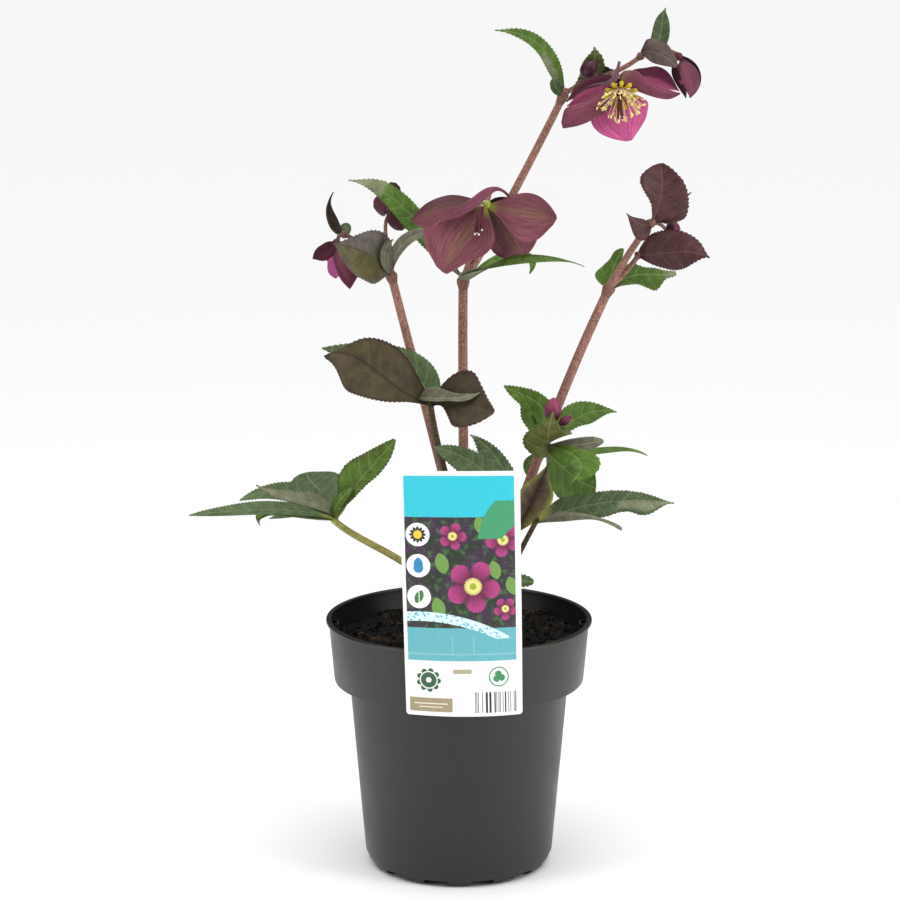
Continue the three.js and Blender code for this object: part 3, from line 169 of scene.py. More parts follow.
class HelleboreColours(bpy.types.PropertyGroup):
    """The colours of every part, each the middle tone that its finish varies."""

    pot: colour("Pot", "moulded plastic", "171513")
    peat: colour("Peat", "damp dark soil", "0f0c09")
    fibre: colour("Root fibre", "dry roots in the soil", "5b4936")
    stem: colour("Stem", "flowering stems", "84594f")
    stem_speck: colour("Stem speck", "pale flecks on the stems", "c49c88")
    green_stalk: colour("Green stalk", "stalk of the lowest leaf", "a3a45a")
    dark_stalk: colour("Dark stalk", "stalk of the bronze leaf", "3c2523")
    lush_leaf: colour("Lush leaf", "upper side of the greenest leaflets", "4f6d20")
    green_leaf: colour("Green leaf", "upper side of the grown leaves", "47593a")
    fresh_leaf: colour("Fresh leaf", "upper side of the bracts", "486722")
    olive_leaf: colour("Olive leaf", "upper side of the bract at the front", "5b5930")
    bronze_leaf: colour("Bronze leaf", "upper side of the large bronze leaf", "4d472e")
    brown_leaf: colour("Brown leaf", "upper side of the brown leaflets", "3d3723")
    umber_leaf: colour("Umber leaf", "upper side of the dark bracts", "28241a")
    grey_leaf: colour("Grey leaf", "upper side of the grey-green bracts", "4b3e3a")
    maroon_leaf: colour("Maroon leaf", "upper side of the glossy red bracts", "4b2a2c")
    leaf_back: colour("Leaf back", "lower side of green leaves", "787d62")
    dusky_back: colour("Dusky back", "lower side of dark leaves", "6a5a52")
    old_sepal: colour("Old sepal", "face of the large flower", "7a484f")
    old_stripe: colour("Old stripe", "middle band of the large flower's sepals", "84654e")
    open_sepal: colour("Open sepal", "face of the fresh flower", "c2588c")
    inner_sepal: colour("Inner sepal", "shaded inside of the fresh flower", "8c3a5e")
    veil_sepal: colour("Veil sepal", "grey-pink curled edge over the fresh flower", "7a5a66")
    open_back: colour("Open back", "outside of the fresh flower", "713c4c")
    dusk_sepal: colour("Dusk sepal", "outside of the closed flowers", "572535")
    shadow_sepal: colour("Shadow sepal", "dark outside of the sepals in the flowers' shade", "30151e")
    rosy_edge: colour("Rosy edge", "rim of the large flower's sepals", "8c4a5c")
    dusty_back: colour("Dusty back", "grey lower side of folded bracts", "5f5852")
    moss_leaf: colour("Moss leaf", "lower half of the bract under the left flowers", "55512f")
    dark_bud: colour("Dark bud", "the buds before they open", "43182a")
    pink_bud: colour("Pink bud", "the lowest bud", "8f3f5c")
    pink_sepal: colour("Pink sepal", "inside of the closed flowers", "bb5f9c")
    heart: colour("Heart", "green-yellow foot of the sepals", "9aa045")
    style: colour("Style", "carpels and styles", "521a24")
    stigma: colour("Stigma", "tips of the styles", "e6dccf")
    filament: colour("Filament", "stalks of the stamens", "e2c8a8")
    nectary: colour("Nectary", "golden cups round the stamens", "b8a01c")
    anther: colour("Anther", "heads of the stamens", "efe08a")
    card: colour("Card", "unprinted label", "f4f5f3")
    sky: colour("Label band", "band over the label's picture", "28c4d6")
    teal: colour("Label strip", "band under the label's picture", "62b2bc")
    floor: colour("Floor", "ground that the pot stands on", "fdfdfd")


class HelleboreLight(bpy.types.PropertyGroup):
    """The strength of the studio's light."""

    surround: strength("Surround", "white light from all round", 0.11)
    ceiling: strength("Ceiling", "very soft light from straight above", 2.7)
    sides: strength("Sides", "two tall panels beside the pot, in watts", 5.2)
    top: strength("Top", "broad panel over the plant, in watts", 3)


# ---- The plant's shapes: each rib or path is a smooth curve through evenly spaced points


def stalk(path, start, end, foot="stem", head="stem"):
    """A stem or stalk: its path, its radius at both ends and the colours that it has there."""
    return dict(path=path, start=start, end=end, foot=foot, head=head)


def blade(look, rib, half, faces, **more):
    """A leaf, bract or sepal: its look, rib, half width and the way its root and tip face.

    More can be fold and cup in degrees, shape as the powers with which it widens and narrows, wave
    in millimetres, and what blade_tints reads. half, fold and cup can differ from side to side.
    """
    return dict(look=look, rib=rib, half=half, faces=faces, **more)


def serrated(*shape, **more):
    """A blade with a toothed edge."""
    return blade(*shape, toothed=True, **more)


def divided(stem, **blades):
    """A leaf from the root: its stalk and its leaflets."""
    return dict(stalk=stem, blades=blades)


def whorl(stem, part, at, clasp, **blades):
    """Bracts at a joint: the stem, its part, how far along that and how long the joint is."""
    return dict(on=(stem, part), at=at, clasp=clasp, blades=blades)


def flower(heart, radius, **blades):
    """Sepals round a heart."""
    return dict(heart=heart, radius=radius, blades=blades)


STEMS = {}
STEMS["stem_centre"] = dict(
    lower=stalk([[4, 4, 150], [4, 8, 250], [3, 6, 350], [3, 2, 448]], 4, 3.4),
    upper=stalk([[3, 2, 446], [17, 14, 466], [46, 20, 519], [78, 24, 582]], 3.2, 2.7),
    top_flower_stalk=stalk([[78, 24, 581], [96, 22, 589], [116, 16, 598], [134, 14, 610]], 2, 1.7),
    open_flower_stalk=stalk([[109, 18, 595], [114, 9, 596], [116, -3, 591]], 1.6, 1.6),
    bell_flower_stalk=stalk([[133, 14, 609], [146, 12, 613], [158, 5, 611]], 1.6, 1.4),
    top_bud_stalk=stalk([[78, 24, 581], [85, 20, 586], [91, 14, 592]], 1.5, 1.3, head="dark_stalk"),
    front_flower_stalk=stalk([[3, 2, 447], [14, 10, 480], [21, -6, 506], [20, -34, 508]], 2, 1.6),
)
STEMS["stem_left"] = dict(
    main=stalk([[17, -4, 150], [0, -17, 252], [-24, -26, 354], [-50, -20, 455]], 4.2, 3),
    outer_flower_stalk=stalk([[-50, -20, 453], [-68, -20, 472], [-82, -22, 482], [-88, -26, 479]], 1.8, 1.4,
        head="dark_stalk"),
    back_flower_stalk=stalk([[-50, -20, 453], [-52, -14, 470], [-54, -2, 484], [-51, 8, 494]], 1.6, 1.3,
        head="dark_stalk"),
)
STEMS["stem_right"] = dict(
    main=stalk([[9, 14, 150], [38, 14, 246], [72, 18, 343], [113, 24, 439]], 4, 3.4),
    upper=stalk([[112, 24, 437], [128, 24, 465], [143, 20, 487]], 2.8, 2.2),
    side=stalk([[112, 24, 437], [126, 30, 450], [134, 26, 462]], 2.4, 1.8),
    upper_bud_stalk=stalk([[142, 20, 485], [148, 26, 484], [153, 29, 480]], 1.5, 1.3),
    mid_bud_stalk=stalk([[64, 17, 322], [67, 10, 328], [69, 8, 337]], 1.6, 1.4),
)

LEAVES = {}
LEAVES["leaf_basal"] = divided(
    stalk([[-9, -12, 150], [-16, -24, 214], [-54, -34, 248.5], [-92, -38, 273.5]], 2.8, 2.5,
        head="green_stalk"),
    terminal=serrated("lush", [[-90, -38, 274], [-79, -46, 297], [-62.5, -54, 318.5], [-46.7, -54, 337.5]],
        [[1, 4, 13.5, 15, 11, 7, 3], [1, 3, 6, 7.5, 10, 8.5, 3]], [-0.35, -0.95, 0.4], fold=[4, 16], cup=6,
        shape=[0.5, 0.35]),
    rounded=serrated("green", [[-91, -37, 275], [-100, -8, 285], [-109, 10, 290], [-115, 24, 296]], 20,
        [0, -0.7, 0.7], shape=[0.6, 0.5]),
    back=serrated("green", [[-91, -37, 275], [-112, -14, 286], [-136, -2, 288], [-164, 4, 279]], [12, 8],
        [0, -0.6, 0.8], fold=8, shape=[0.5, 0.8]),
    middle=serrated("pale", [[-91, -38, 275], [-108, -41, 287], [-128, -42, 292.5], [-148.5, -42, 301]],
        [[1.5, 4, 5.3, 5.3, 4.5, 3, 0.5], [4, 9.5, 10.5, 7.5, 5, 3, 0.5]], [0, -0.5, 0.85], fold=6),
    long=serrated("green", [[-91, -39, 275], [-123, -60, 286], [-158, -74, 289], [-195, -76, 286]],
        [9, 9.5], [0, -0.35, 0.95], fold=8, shape=[0.5, 0.8]),
    under=blade("green", [[-91, -37, 274], [-113, -24, 276], [-125, -20, 275], [-141, -18, 270]], 9,
        [0, -0.3, 1], shape=[0.5, 0.8]),
    hanging=blade("lush", [[-91, -38, 274], [-118, -50, 280], [-140, -58, 283], [-145, -62, 275]],
        [[1, 1, 1, 1.5, 2, 3, 0.5], [1, 3, 4, 5, 5, 4, 0.5]], [[0, -0.3, 1], [-0.6, -0.8, 0.2]]),
    small=blade("lush", [[-90, -38, 274], [-90, -47, 286], [-84, -51, 295], [-79, -50, 301]], 4.5,
        [-0.4, -0.9, 0.3], shape=[0.5, 0.6]),
)
LEAVES["leaf_left"] = divided(
    stalk([[22, -26, 150], [8, -32, 236], [-9, -44, 305], [-21, -44, 362]], 2.9, 2.3, foot="dark_stalk",
        head="dark_stalk"),
    great=serrated("bronze", [[-20, -44, 361], [-49, -58, 379.5], [-73, -66, 399], [-97, -66, 400.5]],
        [[1, 5.5, 16, 24, 28, 21.5, 9], [9, 16, 21.5, 22.5, 17, 4, 0.3]], [0.15, -0.9, 0.5], fold=6, cup=10,
        shape=[0.35, 0.55]),
    back=serrated("green", [[-21, -45, 361], [-33, -39, 382], [-61, -38, 394], [-100, -34, 401]], [14, 15],
        [0.1, -0.75, 0.65], fold=10, shape=[0.6, 0.9]),
    folded=blade("dusty", [[-30, -47, 366.5], [-15, -60, 369], [1, -68, 371], [14.5, -68, 374.5]],
        [[8, 9.5, 8, 5, 3, 2, 0.5], [1, 2.5, 3, 2.5, 3.5, 3, 0.8]], [0, -0.8, 0.7], fold=6,
        shape=[0.12, 0.6]),
    front=serrated("brown", [[-20, -45, 361], [-4, -60, 367], [11, -70, 366], [25, -76, 362]],
        [[6, 13.5, 21, 22.5, 14.5, 7.5, 4], [1, 4, 12.5, 20.5, 21.5, 16.5, 8]], [0.1, -0.9, 0.45], fold=6,
        cup=12, shape=[0.4, 0.5]),
)
LEAVES["leaf_centre"] = divided(
    stalk([[30, -16, 150], [29, -24, 194], [32, -38, 238], [36, -48, 283]], 2.4, 2, foot="dark_stalk",
        head="green_stalk"),
    front=serrated("green", [[36, -48, 282], [24, -62, 309], [5, -68, 326], [-18, -66, 334]], [14.5, 8.5],
        [0.3, -0.95, 0.4], fold=8, shape=[0.6, 0.8]),
    back=serrated("green", [[36, -47, 282], [36, -30, 302], [24, -20, 321], [8.2, -14, 332.5]],
        [[2, 8, 12, 13, 11, 6, 0.4], [2, 6, 6.5, 5.5, 4.5, 2.5, 0.4]], [0.1, -0.95, 0.4], fold=8),
    low=serrated("green", [[31, -34, 226], [42, -42, 229], [55, -44, 228]], 4.5, [0.1, -0.95, 0.3],
        shape=[0.5, 0.5]),
)
LEAVES["leaf_right"] = divided(
    stalk([[26, 0, 150], [28.5, -7, 196], [42.5, -9, 236], [58, -9, 267]], 2.3, 1.9, foot="dark_stalk",
        head="dark_stalk"),
    long=serrated("green", [[57, -9, 265], [89.5, -23, 280], [123.5, -35, 287.5], [157.5, -40, 286.8]],
        [[4, 13, 10, 9.4, 8.4, 5.7, 0.5], [4, 9, 12, 14, 10.4, 17, 0.5]], [0, -0.65, 0.75], fold=6,
        shape=[0.5, 1], turned=[0.6, 0.97, 0.05, 0.7]),
    curved=blade("dusty", [[58, -9, 265], [78.5, -30, 275.5], [99.5, -42, 276.5], [119.3, -46, 268]],
        [[3, 8.4, 4.8, 2.6, 1.4, 2, 4], [3, 5.5, 6.9, 5.4, 2.4, 1.4, 2]], [0, -0.5, 0.9], fold=-6,
        shape=[0.5, 0.3], shades=[1.15, 0.8]),
)

WHORLS = {}
WHORLS["bracts_centre_lower"] = whorl(
    "stem_centre", "lower", 0.985, 9,
    left=serrated("fresh", [[2, 4, 448], [-21, 6, 475], [-46, 0, 504.5], [-81, 4, 519]],
        [[2, 6, 9, 11, 10, 5.5, 0.4], [2, 4.5, 6, 7.5, 8, 7, 0.4]], [[0.3, -0.8, 0.5], [0.1, -0.8, 0.6]],
        fold=8, turned=[0.77, 1.1, -1.1, 1.1]),
    right=serrated("fresh", [[3, -1.8, 447], [28, -41, 464], [60, -41, 468], [91, -20, 459]], [9, 9],
        [[0, -0.3, 1], [0, -0.16, 1]], shape=[0.45, 0.85]),
    keel=blade("dusty", [[3, -1.8, 445.5], [10, -20, 453], [24, -31, 460.5]], [[4, 6, 6.5, 5, 3.5, 2, 0.4],
        [1, 2, 2.5, 2, 1.5, 1, 0.4]], [0, -0.9, -0.3]),
    curled=blade("fresh", [[5, 6, 444], [31, 34, 457.5], [51, 48, 457], [53, 50, 443]],
        [[1.5, 3, 3.5, 3.5, 3, 3.5, 2], [1.5, 3, 3.5, 3.5, 3, 3, 1.5]], [[0.2, -0.3, 1], [0.1, -0.9, 0.3]],
        fold=15, shape=[0.8, 0.5]),
)
WHORLS["bracts_centre_upper"] = whorl(
    "stem_centre", "upper", 0.98, 8,
    left=serrated("fresh", [[77, 24, 580], [69.5, 26, 602], [54, 26, 619], [26, 18, 627]],
        [[3, 8, 9, 8, 7, 5, 0.4], [1, 3, 4.5, 5.5, 6, 4.5, 0.4]], [[0.5, -0.8, 0.5], [0.1, -0.7, 0.8]],
        fold=10, turned=[-1, 0.5, -1.1, -0.2]),
    small=blade("green", [[77, 23, 580], [70.5, 17, 586], [69.5, 14, 592.5]], 4.5, [0.4, -0.9, 0.3],
        shape=[0.5, 0.5]),
    behind_bud=serrated("olive", [[77, 28, 580], [91, 27.5, 590], [98, 20, 602], [98.5, 18, 615]],
        [[0.5, 1, 3.5, 6.5, 7.5, 6, 0.5], [1, 3, 6, 8, 8.5, 6, 0.5]], [0, -1, 0.25], fold=10,
        shades=[0.55, 0.8]),
    beside_bud=serrated("umber", [[79, 26, 581], [92, 30, 588], [103, 30, 594], [113, 28, 597.5]],
        [[0.5, 1.5, 6, 10, 10, 5, 0.4], [1, 2, 3, 3, 2.5, 1.5, 0.4]], [0.2, -1, 0.4], fold=8),
)
WHORLS["bracts_centre_top"] = whorl(
    "stem_centre", "top_flower_stalk", 0.97, 6,
    hood=blade("grey", [[132, 14, 611.5], [141, 4, 612.5], [149, -4, 609.5], [156.5, -10, 602.5]],
        [[12, 12, 10.5, 9.5, 7, 5.5, 3], [1, 5, 7.5, 8.5, 8, 6, 3]], [-0.1, -0.9, 0.4], fold=-6,
        cup=[-14, 10], shape=[0.1, 0.4]),
    upright=blade("green", [[133, 16, 611], [145, 22, 617], [148, 23, 630], [150.3, 18, 643]],
        [[1, 3, 6.3, 6.8, 6.5, 4.8, 0.5], [1, 3, 6, 6.5, 6, 4.4, 0.5]], [0, -1, 0.15], fold=14),
)
WHORLS["bracts_left_top"] = whorl(
    "stem_left", "main", 0.99, 9,
    great=serrated("mossy", [[-50, -22, 454], [-61.8, -40, 468.5], [-75.3, -52, 476.5],
        [-90.5, -54, 480.5]], [[5, 15, 21, 22.5, 21, 13, 0.5], [6, 15, 18.5, 16.5, 10.5, 5, 0.5]],
        [0.2, -0.95, 0.4], fold=8, cup=14, shape=[0.4, 0.8]),
    folded=blade("dusty", [[-50, -22, 454], [-54, -34, 464], [-53, -38, 474], [-47.5, -36, 481]],
        [[1, 2.5, 3.5, 4, 4, 3, 1], [1, 3, 3.5, 3.5, 3.5, 2.5, 1]], [0.5, -1, 0.3], fold=16),
    arching=blade("dusty", [[-49, -19, 454], [-45, -17, 470], [-35, -17, 480], [-21, -14, 483.8]],
        [[1, 3.5, 5, 5.2, 5, 4.5, 3], [1, 3.5, 5, 5.2, 5, 4.5, 3]], [[-0.6, -0.9, 0.2], [-0.2, -0.8, 0.7]],
        fold=10, shape=[0.5, 0.3]),
)
WHORLS["bracts_left_outer"] = whorl(
    "stem_left", "outer_flower_stalk", 0.72, 5,
    spear=blade("umber", [[-83, -22, 482], [-91, -18, 488], [-94.8, -16, 499.5], [-91.3, -14, 512.5]],
        [[1, 3, 3.5, 3, 2.5, 1.2, 0.2], [1, 3.5, 4.8, 4.8, 3.2, 1, 0.2]], [0.3, -1, 0.2], fold=20),
    small=blade("green", [[-83, -22, 480.5], [-82.5, -16, 485], [-83, -13, 490]], 4, [0.3, -1, 0.2],
        shape=[1, 0.5]),
)
WHORLS["bracts_right_branch"] = whorl(
    "stem_right", "main", 0.985, 8,
    left=blade("fresh", [[113, 26, 437], [112.5, 33, 443], [117, 38, 454], [123, 40, 463.5]],
        [[1, 7, 11.5, 8, 5, 5, 3], [1, 3, 4, 4, 4, 3, 1.5]], [-0.1, -0.9, 0.4], shape=[0.4, 0.4]),
    right=serrated("fresh", [[113, 26, 435], [131, 36, 444], [147, 42, 443.5], [163, 46, 444.5]],
        [[2, 7, 9.5, 5.5, 5, 3.5, 2.5], [2, 5.5, 7, 10, 12, 3, 3]], [0.1, -0.9, 0.5], shape=[0.5, 0.3],
        turned=[0.8, 1.1, -1.1, 1.1]),
)
WHORLS["bracts_right_top"] = whorl(
    "stem_right", "upper", 0.95, 7,
    great=serrated("maroon", [[143.5, 20, 487], [147.5, 10, 502], [149, 6, 517], [147, 8, 531]],
        [[2, 4, 7, 13, 17.5, 18.5, 14], [16, 22, 21, 19, 15.5, 10, 5]], [0.2, -0.95, 0.2], fold=4, cup=12,
        shape=[0.25, 0.4]),
    left=blade("maroon", [[142, 19, 484], [133, 12, 486], [123, 8, 494]], [[6, 11, 12, 9.5, 6, 3, 0.4],
        [2, 3, 4, 4, 3, 1.5, 0.4]], [0, -1, 0.1]),
    behind=blade("maroon", [[143, 21, 485], [157, 30, 495], [172, 30, 507]], 3, [0, -1, 0.2], fold=10,
        shape=[0.5, 1]),
)
WHORLS["bract_right_side"] = whorl(
    "stem_right", "side", 0.93, 5,
    glossy=serrated("maroon", [[133, 26, 461], [149, 10, 464], [166.2, 0, 467], [183.6, -4, 463]],
        [[10, 15, 16.5, 16.5, 14, 9.5, 1], [4, 8, 11, 13, 12, 8, 1]], [[0.1, -1, 0], [0.1, -0.9, 0.4]],
        fold=-4, cup=-8, shape=[0.4, 0.8]),
)
WHORLS["bracts_right_mid"] = whorl(
    "stem_right", "main", 0.59, 11,
    upper_left=serrated("fresh", [[65, 18, 321], [65, 32, 341], [52, 40, 351], [34, 42, 359]], [11, 7],
        [0.2, -0.9, 0.4], fold=8, shape=[0.5, 0.8], shades=[1.35, 1.2]),
    inner_left=serrated("fresh", [[66, 17, 322], [58, 26, 335], [52, 29, 346], [47, 28, 355.5]],
        [[3, 8, 9, 9, 7, 4, 0.4], [3, 7, 8, 7, 6, 3, 0.4]], [0.2, -0.95, 0.3], fold=8, shades=[1.5, 1.5]),
    front=serrated("olive", [[66, 15, 318.5], [65.5, -6, 325], [66.5, -16, 337.5], [69, -20, 351]],
        [[3, 10, 17.5, 17, 11, 4, 0.4], [6, 16, 19.5, 16, 9, 4, 0.4]], [0.1, -0.95, 0.3], fold=-8,
        shape=[0.5, 0.8], shades=[1.15, 1]),
    upper_right=serrated("fresh", [[67, 18, 321], [85, 30, 334], [102, 36, 340.5], [119, 36, 339.8]],
        [[3, 9, 12, 11.5, 7.5, 3, 0.5], [2.5, 6, 7, 9.5, 8.5, 5, 0.5]], [0, -0.7, 0.7], fold=8),
    middle_right=blade("dusty", [[66, 17, 318], [82, 10, 320], [95, 6, 322], [108, 6, 324]],
        [[1, 3.5, 5, 5.5, 5.5, 5, 3], [1, 3.5, 4.5, 5, 5.5, 5, 3]], [0, -0.8, 0.6], shape=[0.6, 0.35]),
    lower_right=blade("fresh", [[65, 18, 316], [90, 28, 309.5], [117, 35, 310.7], [142.7, 36, 306.5]], 7,
        [0, -0.12, 1], fold=8, shape=[0.6, 0.8]),
    front_right=serrated("fresh", [[67, 15, 319], [82, -8, 318], [90, -18, 311], [83.3, -22, 299]],
        [[2, 4, 5.5, 9, 14.5, 9.5, 2], [6, 10.5, 10.5, 10.5, 9, 6.5, 1.5]], [0.2, -0.9, 0.45], fold=6,
        shades=[1.2, 1.1]),
    back_left=blade("fresh", [[62, 19, 317], [58, 29, 305], [53, 34, 301], [51, 34, 292]], 5,
        [-0.2, -0.9, 0.3], shape=[0.5, 0.7]),
    back_right=serrated("fresh", [[66, 19, 314], [78, 34, 298], [92, 38, 286], [104, 36, 282]], [13, 21],
        [0.1, -0.8, 0.5], shape=[0.6, 0.4], shades=[0.9, 0.8]),
)
WHORLS["bract_right_low"] = whorl(
    "stem_right", "main", 0.35, 8,
    clasping=blade("clasp", [[42, 13, 252], [51, 3, 272], [59, -3, 291], [67, -1, 309]],
        [[4, 8, 12, 13, 11, 5, 1], [4, 9, 13, 14.5, 12.5, 5, 1]], [0.3, -0.95, 0.2], fold=12, wave=1.2),
)

FLOWERS = {}
FLOWERS["sepals_front"] = flower(
    [20, -41, 507], 3.4,
    lower_left=blade("old", [[19, -42, 505.5], [8, -52, 491], [-2.5, -56, 476], [-12, -48, 459]],
        [[4, 13, 21, 21, 14, 9, 5], [4, 16, 26, 29.5, 28, 21, 8]], [-0.15, -0.95, 0.15], fold=2,
        cup=[26, 14], shape=[0.45, 0.22], wave=1.1, shades=[0.96, 1.12]),
    lower_right=blade("old", [[20, -40, 505], [28.5, -36, 492], [37, -32, 479], [44, -28, 465.5]],
        [[4, 9, 14, 17.5, 20, 20, 14], [4, 8, 12, 15, 15, 12, 6]], [0.1, -0.97, 0.15], cup=10,
        shape=[0.45, 0.4], wave=1.1, shades=[0.95, 0.6]),
    right=blade("old", [[20, -42, 506], [38, -46, 504], [54, -44, 501], [70, -40, 496.5]],
        [[3, 6.5, 11, 13.5, 13, 9.5, 5], [3, 9, 17, 22, 21.5, 18.5, 10]], [0.1, -0.97, 0], cup=12,
        shape=[0.5, 0.45], wave=0.9, shades=[0.72, 0.85]),
    rim=blade("old_rim", [[37, -37, 510.5], [24, -52, 519], [13, -62, 513.5], [3, -68, 508],
        [-7, -72, 506]], [[0.3, 1.2, 3, 4, 4.2, 4.4, 4], [0.4, 2, 3.3, 3.5, 3.5, 3.5, 3.2]],
        [0, -0.85, 0.5], cup=-20, shape=[0.8, 0.2]),
    inner=blade("shadow", [[21, -41, 508], [30, -38, 508], [40, -36, 510.5]], [[2, 3.5, 4, 4, 3.5, 2.5, 1],
        [2, 3.5, 4.5, 5, 4.5, 3, 1]], [0, -0.95, 0.3], fold=20),
    left=blade("old", [[18, -42, 508], [-0.5, -56, 509.5], [-17, -60, 506.5], [-34, -54, 497]],
        [[2, 6, 10, 10.5, 10.5, 13, 9], [3.5, 9, 11.5, 11.5, 11, 9.5, 6]], [0, -0.95, 0.2], fold=[-12, -50],
        shape=[0.5, 0.3], shades=[0.8, 0.4]),
)
FLOWERS["sepals_top"] = flower(
    [117, -6, 588], 4,
    lower=blade("open", [[117, -8, 587], [117.3, -9, 575], [120.4, -8, 561.5], [125.1, -5, 549.2]],
        [[5, 15, 19.5, 18.5, 15.5, 9.5, 3], [6, 15, 21.5, 24, 20.5, 13, 5.5]], [-0.1, -0.95, 0.3], fold=9,
        shape=[0.4, 0.35], wave=0.6, shades=[1.08, 0.84]),
    left=blade("open_out", [[115, -11, 587], [101, -17, 578], [88, -20, 569.2], [74.6, -19, 559.6]],
        [[1, 4, 9, 8, 7, 5, 1.8], [1, 4, 5, 6, 9, 11, 6]], [-0.1, -0.95, 0.1], cup=-16, shape=[0.5, 0.3],
        shades=[0.9, 1.1]),
    left_inner=blade("open_mid", [[114.5, -8.5, 588.5], [101.5, -12, 585.5], [88.5, -13, 579.5],
        [77.6, -13, 574.9]], [[2, 4, 5, 7, 7.5, 4.5, 0.5], [1.5, 2.5, 3.5, 4.6, 4.7, 3.1, 0.5]],
        [0.1, -0.9, 0.4], fold=10, shades=[0.8, 1.15]),
    upper_left=blade("wine", [[117.5, -7, 592], [103, -5, 592], [90, -6, 587.5], [77.5, -9, 577.3]],
        [[2, 4, 4.5, 5, 5, 4.5, 1], [2, 4.2, 4.5, 4.5, 4, 3, 1]], [0, -0.9, 0.4], fold=8),
    right=blade("open_mid", [[118, -9, 590.5], [134, -5, 595.2], [148, -5, 591.5], [158.8, -10, 585.4]],
        [[4, 6.5, 6.5, 8.8, 7.6, 4.2, 1], [3, 4, 5, 6, 5, 3.5, 1]], [0, -0.95, 0.2], cup=20,
        shades=[0.35, 1.15]),
    right_wing=blade("open_wing", [[116, -9, 597], [130.8, -20, 590.4], [144.5, -25, 585.2],
        [158.6, -24, 584.8]], [[6, 8, 5.6, 4.5, 4, 3.4, 1.2], [5, 6.2, 5.2, 4.5, 4, 3.5, 1.2]],
        [0, -0.95, 0.1], cup=-14, shape=[0.3, 0.3], shades=[1.1, 0.95]),
    upper=blade("veil", [[115.5, -9, 606.6], [113.4, -11, 598], [109.3, -12, 591.8], [101.8, -10, 590],
        [93, -6, 587.2]], [[0.2, 1.1, 2.1, 2.3, 1.4, 0.9, 0.5], [0.2, 1.1, 2.1, 2.3, 1.4, 0.9, 0.5]],
        [-0.3, -0.95, 0.1], fold=-10, shape=[0.5, 0.5]),
)
FLOWERS["sepals_bell"] = flower(
    [159, 4, 609], 3.5,
    left=blade("shadow", [[157, 2, 605], [156.9, -4, 595.6], [160.7, -7, 587.9], [164, -6, 580]],
        [[2.4, 3, 2.9, 2.6, 2.3, 2, 0.8], [2.4, 3, 2.9, 2.6, 2.3, 2, 0.8]], [-0.4, -1, 0], cup=-20,
        shape=[0.3, 0.4]),
    front=blade("open_out", [[161, 4, 608.3], [166, -4, 598.7], [168.9, -7, 589.3], [167.1, -5, 579.9]],
        [[3, 6.7, 8.2, 7.8, 6.8, 5, 2], [3, 7.5, 9.5, 9.5, 8.5, 6.5, 3]], [0.3, -1, 0.1], cup=-40,
        shades=[0.8, 1.1]),
    back=blade("shadow", [[160, 5, 609], [171, 13, 597], [169, 11, 581]], 6, [-0.3, -1, -0.2], fold=10,
        cup=30, shape=[0.5, 0.4]),
)
FLOWERS["sepals_outer"] = flower(
    [-89, -27.5, 477.5], 3.2,
    left=blade("wine", [[-88, -28, 477], [-97, -34, 472.5], [-106, -34, 466.5]], [[2, 4, 6, 6.5, 6.5, 5, 2],
        [2, 4, 5, 5, 5, 4, 2]], [0.2, -1, 0.1], cup=16),
    lower=blade("pink", [[-88, -27, 475], [-91, -25, 463], [-89.5, -26, 451]], [[2, 3, 4.5, 5.5, 6, 6, 5],
        [2, 3, 4, 4.5, 5, 5, 3.5]], [-0.1, -1, 0.1], cup=10),
    right=blade("dusk", [[-88, -28, 476], [-86, -36, 463], [-79, -40, 445.5]], [[2, 4, 6, 8, 11, 12, 7],
        [2, 3, 4, 4, 4, 3.5, 2]], [0.1, -1, 0], cup=-14),
    back=blade("shadow", [[-89, -27, 477], [-91, -17, 466], [-89, -13, 456]], 6, [0.2, -1, -0.2], cup=25,
        shape=[0.5, 0.5]),
)
FLOWERS["sepals_back"] = flower(
    [-51, 9.5, 497.5], 3,
    upper=blade("shadow", [[-51, 9, 498], [-50, 13, 507], [-46.5, 20, 515]], 6.5, [0, -1, 0.1], cup=-20,
        shape=[0.5, 0.35]),
    left=blade("wine", [[-51, 9, 498], [-57, 12, 499], [-63, 20, 497]], 8, [-0.3, -1, 0], cup=-20,
        shape=[0.5, 0.4]),
    lower=blade("wine", [[-51, 9, 498], [-46, 12, 489], [-42, 20, 480]], [6.5, 7], [0, -1, -0.1], cup=-20,
        shape=[0.5, 0.4]),
    right=blade("wine", [[-51, 9, 498], [-45, 14, 504], [-42, 20, 507]], 6, [0.3, -1, 0.1], cup=-20,
        shape=[0.5, 0.4]),
)

BUDS = {
    "bud_top": [dict(foot=[91.6, 13.4, 592.8], tip=[98.5, 6, 605], radius=6.8, look="bud_dark")],
    "bud_right": [dict(foot=[153.6, 29.4, 479.6], tip=[164.6, 32, 478.5], radius=6.8, look="bud_dusk")],
    "bud_mid_large": [
        dict(foot=[69.1, 8, 337.6], tip=[70.5, 8, 356.5], radius=6.7, look="bud_pink"),
        dict(foot=[74.5, 5, 336.5], tip=[84, 0, 344], radius=3.6, look="bud_dusk"),
    ],
}
FRONT_CARPELS = dict(
    foot=[15.8, -48, 505],
    tips=[[11, -62, 488.5], [13.8, -64, 488.3], [12.6, -60, 489], [16, -60, 491]],
)
TOP_STYLES = dict(foot=[116, -18, 581], tips=[[113.8, -34, 566.5], [116.8, -36, 567], [117.5, -33, 569]])
STAMENS = dict(ring=[116.5, -15, 584.5], axis=[-0.03, -0.85, -0.5], ring_radius=3.8, length=17)

# ---- Shells: closed surfaces as arrays


